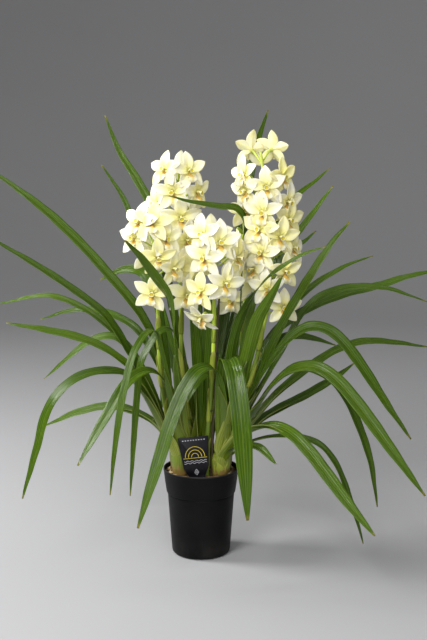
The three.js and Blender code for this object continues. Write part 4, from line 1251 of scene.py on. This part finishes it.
def tie_shells(path, line, height, rng):
    """A soft wire wound twice round a stem and its stake, with its ends twisted together."""
    stem, stake = path.at_height(height)[:2], line(height)[:2]
    across = unit(stake - stem)
    left = np.array([-across[1], across[0]])
    bends = [(stem, stem_radius(path, height), pi / 2, 0), (stake, STAKE.radius, -pi / 2, 1)]
    points = []
    for turn in range(2):
        for centre, radius, start, half_turn in bends:
            z = height + WIRE.rise * (2 * turn - 1 + half_turn)
            for t in np.linspace(start, start + pi, 8):
                out = across * cos(t) + left * sin(t)
                points.append([*(centre + (radius + WIRE.clear) * out), z])
    shells = Shells()
    add_wire(shells, points, 120, 0.006)
    start = np.array(points[-1])
    for k in (-1, 1):
        end = start + [*(across * rng.uniform(1, 3) + left * rng.uniform(5, 8)), 2.0 * k]
        add_wire(shells, [start, (start + end) / 2 + UP * 0.8 * k, end], 12, 0.05)
    return shells


# Building

leaf_mat, clasp_mat, sheath_mat = leaf_material(), clasp_material(), sheath_material()
stem_mat, cane_mat, tie_mat = stem_material(), cane_material(), tie_material()
bloom_mats = [tepal_material(), lip_material(), column_material()]
inks = [ink_material("yellow_ink", (0.75, 0.6, 0.04), (0.62, 0.48, 0.03)),
        ink_material("pale_ink", (0.62, 0.62, 0.66), (0.5, 0.5, 0.55))]

cut_holes(piece("nursery_pot", pot_shells(), [pot_material()], "pot", "pot"))

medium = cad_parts["growing_medium"]
medium.data.materials.clear()
medium.data.materials.append(medium_material())

paths = [spike_path(spike) for spike in SPIKES]
bulbs = [at for at, _ in SHOOTS.values()]
stake_lines = [stake_line(paths[s["spike"]], s["beside"], s["ties"]) for s in STAKES]
stems = [spike["path"][0][:2] for spike in SPIKES]
stems += [line(MEDIUM.top)[:2] for line in stake_lines]
rng = np.random.default_rng(SEEDS.medium)
piece("bark_chips", bark_chips(rng, bulbs, stems), [bark_material()], "growing_medium", sharp=38)
piece("surface_roots", surface_roots(rng, bulbs), [root_material()], "growing_medium")

piece("label_plate", label_plate(), [label_material()], "label", "label", sharp=40)
piece("label_print", label_print(), inks, "label", sharp=40)

for k, (name, (at, leaves)) in enumerate(SHOOTS.items()):
    rng = np.random.default_rng(SEEDS.shoot + k)
    shells = Shells()
    for blade_of in leaves:
        add_leaf(shells, at, rng, **blade_of)
    for layer, blade_of in enumerate(leaves[:7]):
        add_clasp(shells, at, rng, blade_of, layer % 4)
    add_bulb(shells, at, rng)
    piece(f"leaves_{name}", shells, [leaf_mat, clasp_mat, sheath_mat], "leaf", f"shoot_{name}")

numbered = 0
for k, (spike, path) in enumerate(zip(SPIKES, paths), 1):
    rng = np.random.default_rng(SEEDS.stem + k)
    stem = Shells()
    add_stem(stem, path, rng)
    nodes = {n: node_points(n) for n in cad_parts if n.startswith(f"spike_{k}_bloom")}
    gathered = {n: Shells() for n in nodes}
    for bloom in spike["blooms"]:
        numbered += 1
        pose = bloom_pose(path, bloom, numbered)
        add_stalk(stem, path, bloom, pose, rng)
        hub, axes, size = pose
        neck = hub - axes[:, 2] * BLOOM.hub_back * size
        nearest = min(nodes, key=lambda n: np.min(np.linalg.norm(nodes[n] - neck, axis=1)))
        flower = bloom_shells(np.random.default_rng(SEEDS.bloom + numbered))
        gathered[nearest].take(flower, axes * size, hub)
    for bud in spike.get("buds", []):
        add_bud(stem, path, bud, rng)
    lowest = min(b[0] for b in spike["blooms"])
    foot, azimuth = WRAP.first, rng.uniform(0, 360)
    while foot + 60 < lowest:
        add_wrap(stem, path, foot, rng.uniform(*WRAP.length), azimuth, rng)
        foot, azimuth = foot + rng.uniform(*WRAP.gap), azimuth + WRAP.turn
    piece(f"flower_stem_{k}", stem, [stem_mat, sheath_mat], "flower_stem", f"spike_{k}_stem")
    for n, shells in gathered.items():
        piece(n.replace("spike", "flowers"), shells, bloom_mats, "bloom", n)

for k, (stake, line) in enumerate(zip(STAKES, stake_lines), 1):
    rng = np.random.default_rng(SEEDS.stake + k)
    piece(f"cane_{k}", stake_shells(line, stake["top"], rng), [cane_mat], "stake", f"stake_{k}")
    for t, height in enumerate(stake["ties"], 1):
        shells = tie_shells(paths[stake["spike"]], line, height, rng)
        piece(f"wire_{k}_{t}", shells, [tie_mat], "tie", f"tie_{k}_{t}")


# Floor, light and camera

def add_floor(flat, bend, top, sides=96):
    """A plain pale floor that rises all round into a wall, far from the plant. Metres."""
    arc = np.linspace(0, pi / 2, 16)[1:]
    curve = zip(flat + bend * np.sin(arc), bend * (1 - np.cos(arc)))
    rings = lathe_rings([(0.001, 0), (1.0, 0), (flat, 0), *curve, (flat + bend, top)], sides)
    index = np.arange(len(rings) * sides).reshape(-1, sides)
    faces = [index[0].tolist(), *quads_between(index)[:, ::-1].tolist()]
    floor = mesh_object("floor", rings.reshape(-1, 3), faces)
    floor.data.shade_smooth()
    floor.data.materials.append(floor_material())


def add_light(name, at, width, watts):
    light = bpy.data.lights.new(name, "AREA")
    light.shape, light.size, light.energy = "DISK", width, watts
    made = bpy.data.objects.new(name, light)
    made.location = at
    made.rotation_euler = (LIT_POINT - Vector(at)).to_track_quat("-Z", "Y").to_euler()
    bpy.context.scene.collection.objects.link(made)


add_floor(**vars(FLOOR))
for light in LIGHTS:
    add_light(*light)

world = bpy.data.worlds.new("studio")
world.use_nodes = True
background = world.node_tree.nodes["Background"]
background.inputs["Color"].default_value = SKY.colour
background.inputs["Strength"].default_value = SKY.strength
bpy.context.scene.world = world
bpy.context.scene.view_settings.view_transform = "Standard"

lens = bpy.data.cameras.new("camera")
lens.sensor_width = 36
lens.lens = CAMERA.focal_pixels * lens.sensor_width / CAMERA.frame_pixels
camera = bpy.data.objects.new("camera", lens)
camera.location = CAMERA.at
camera.rotation_euler = (radians(90 - CAMERA.down), 0, 0)
bpy.context.scene.collection.objects.link(camera)
bpy.context.scene.camera = camera
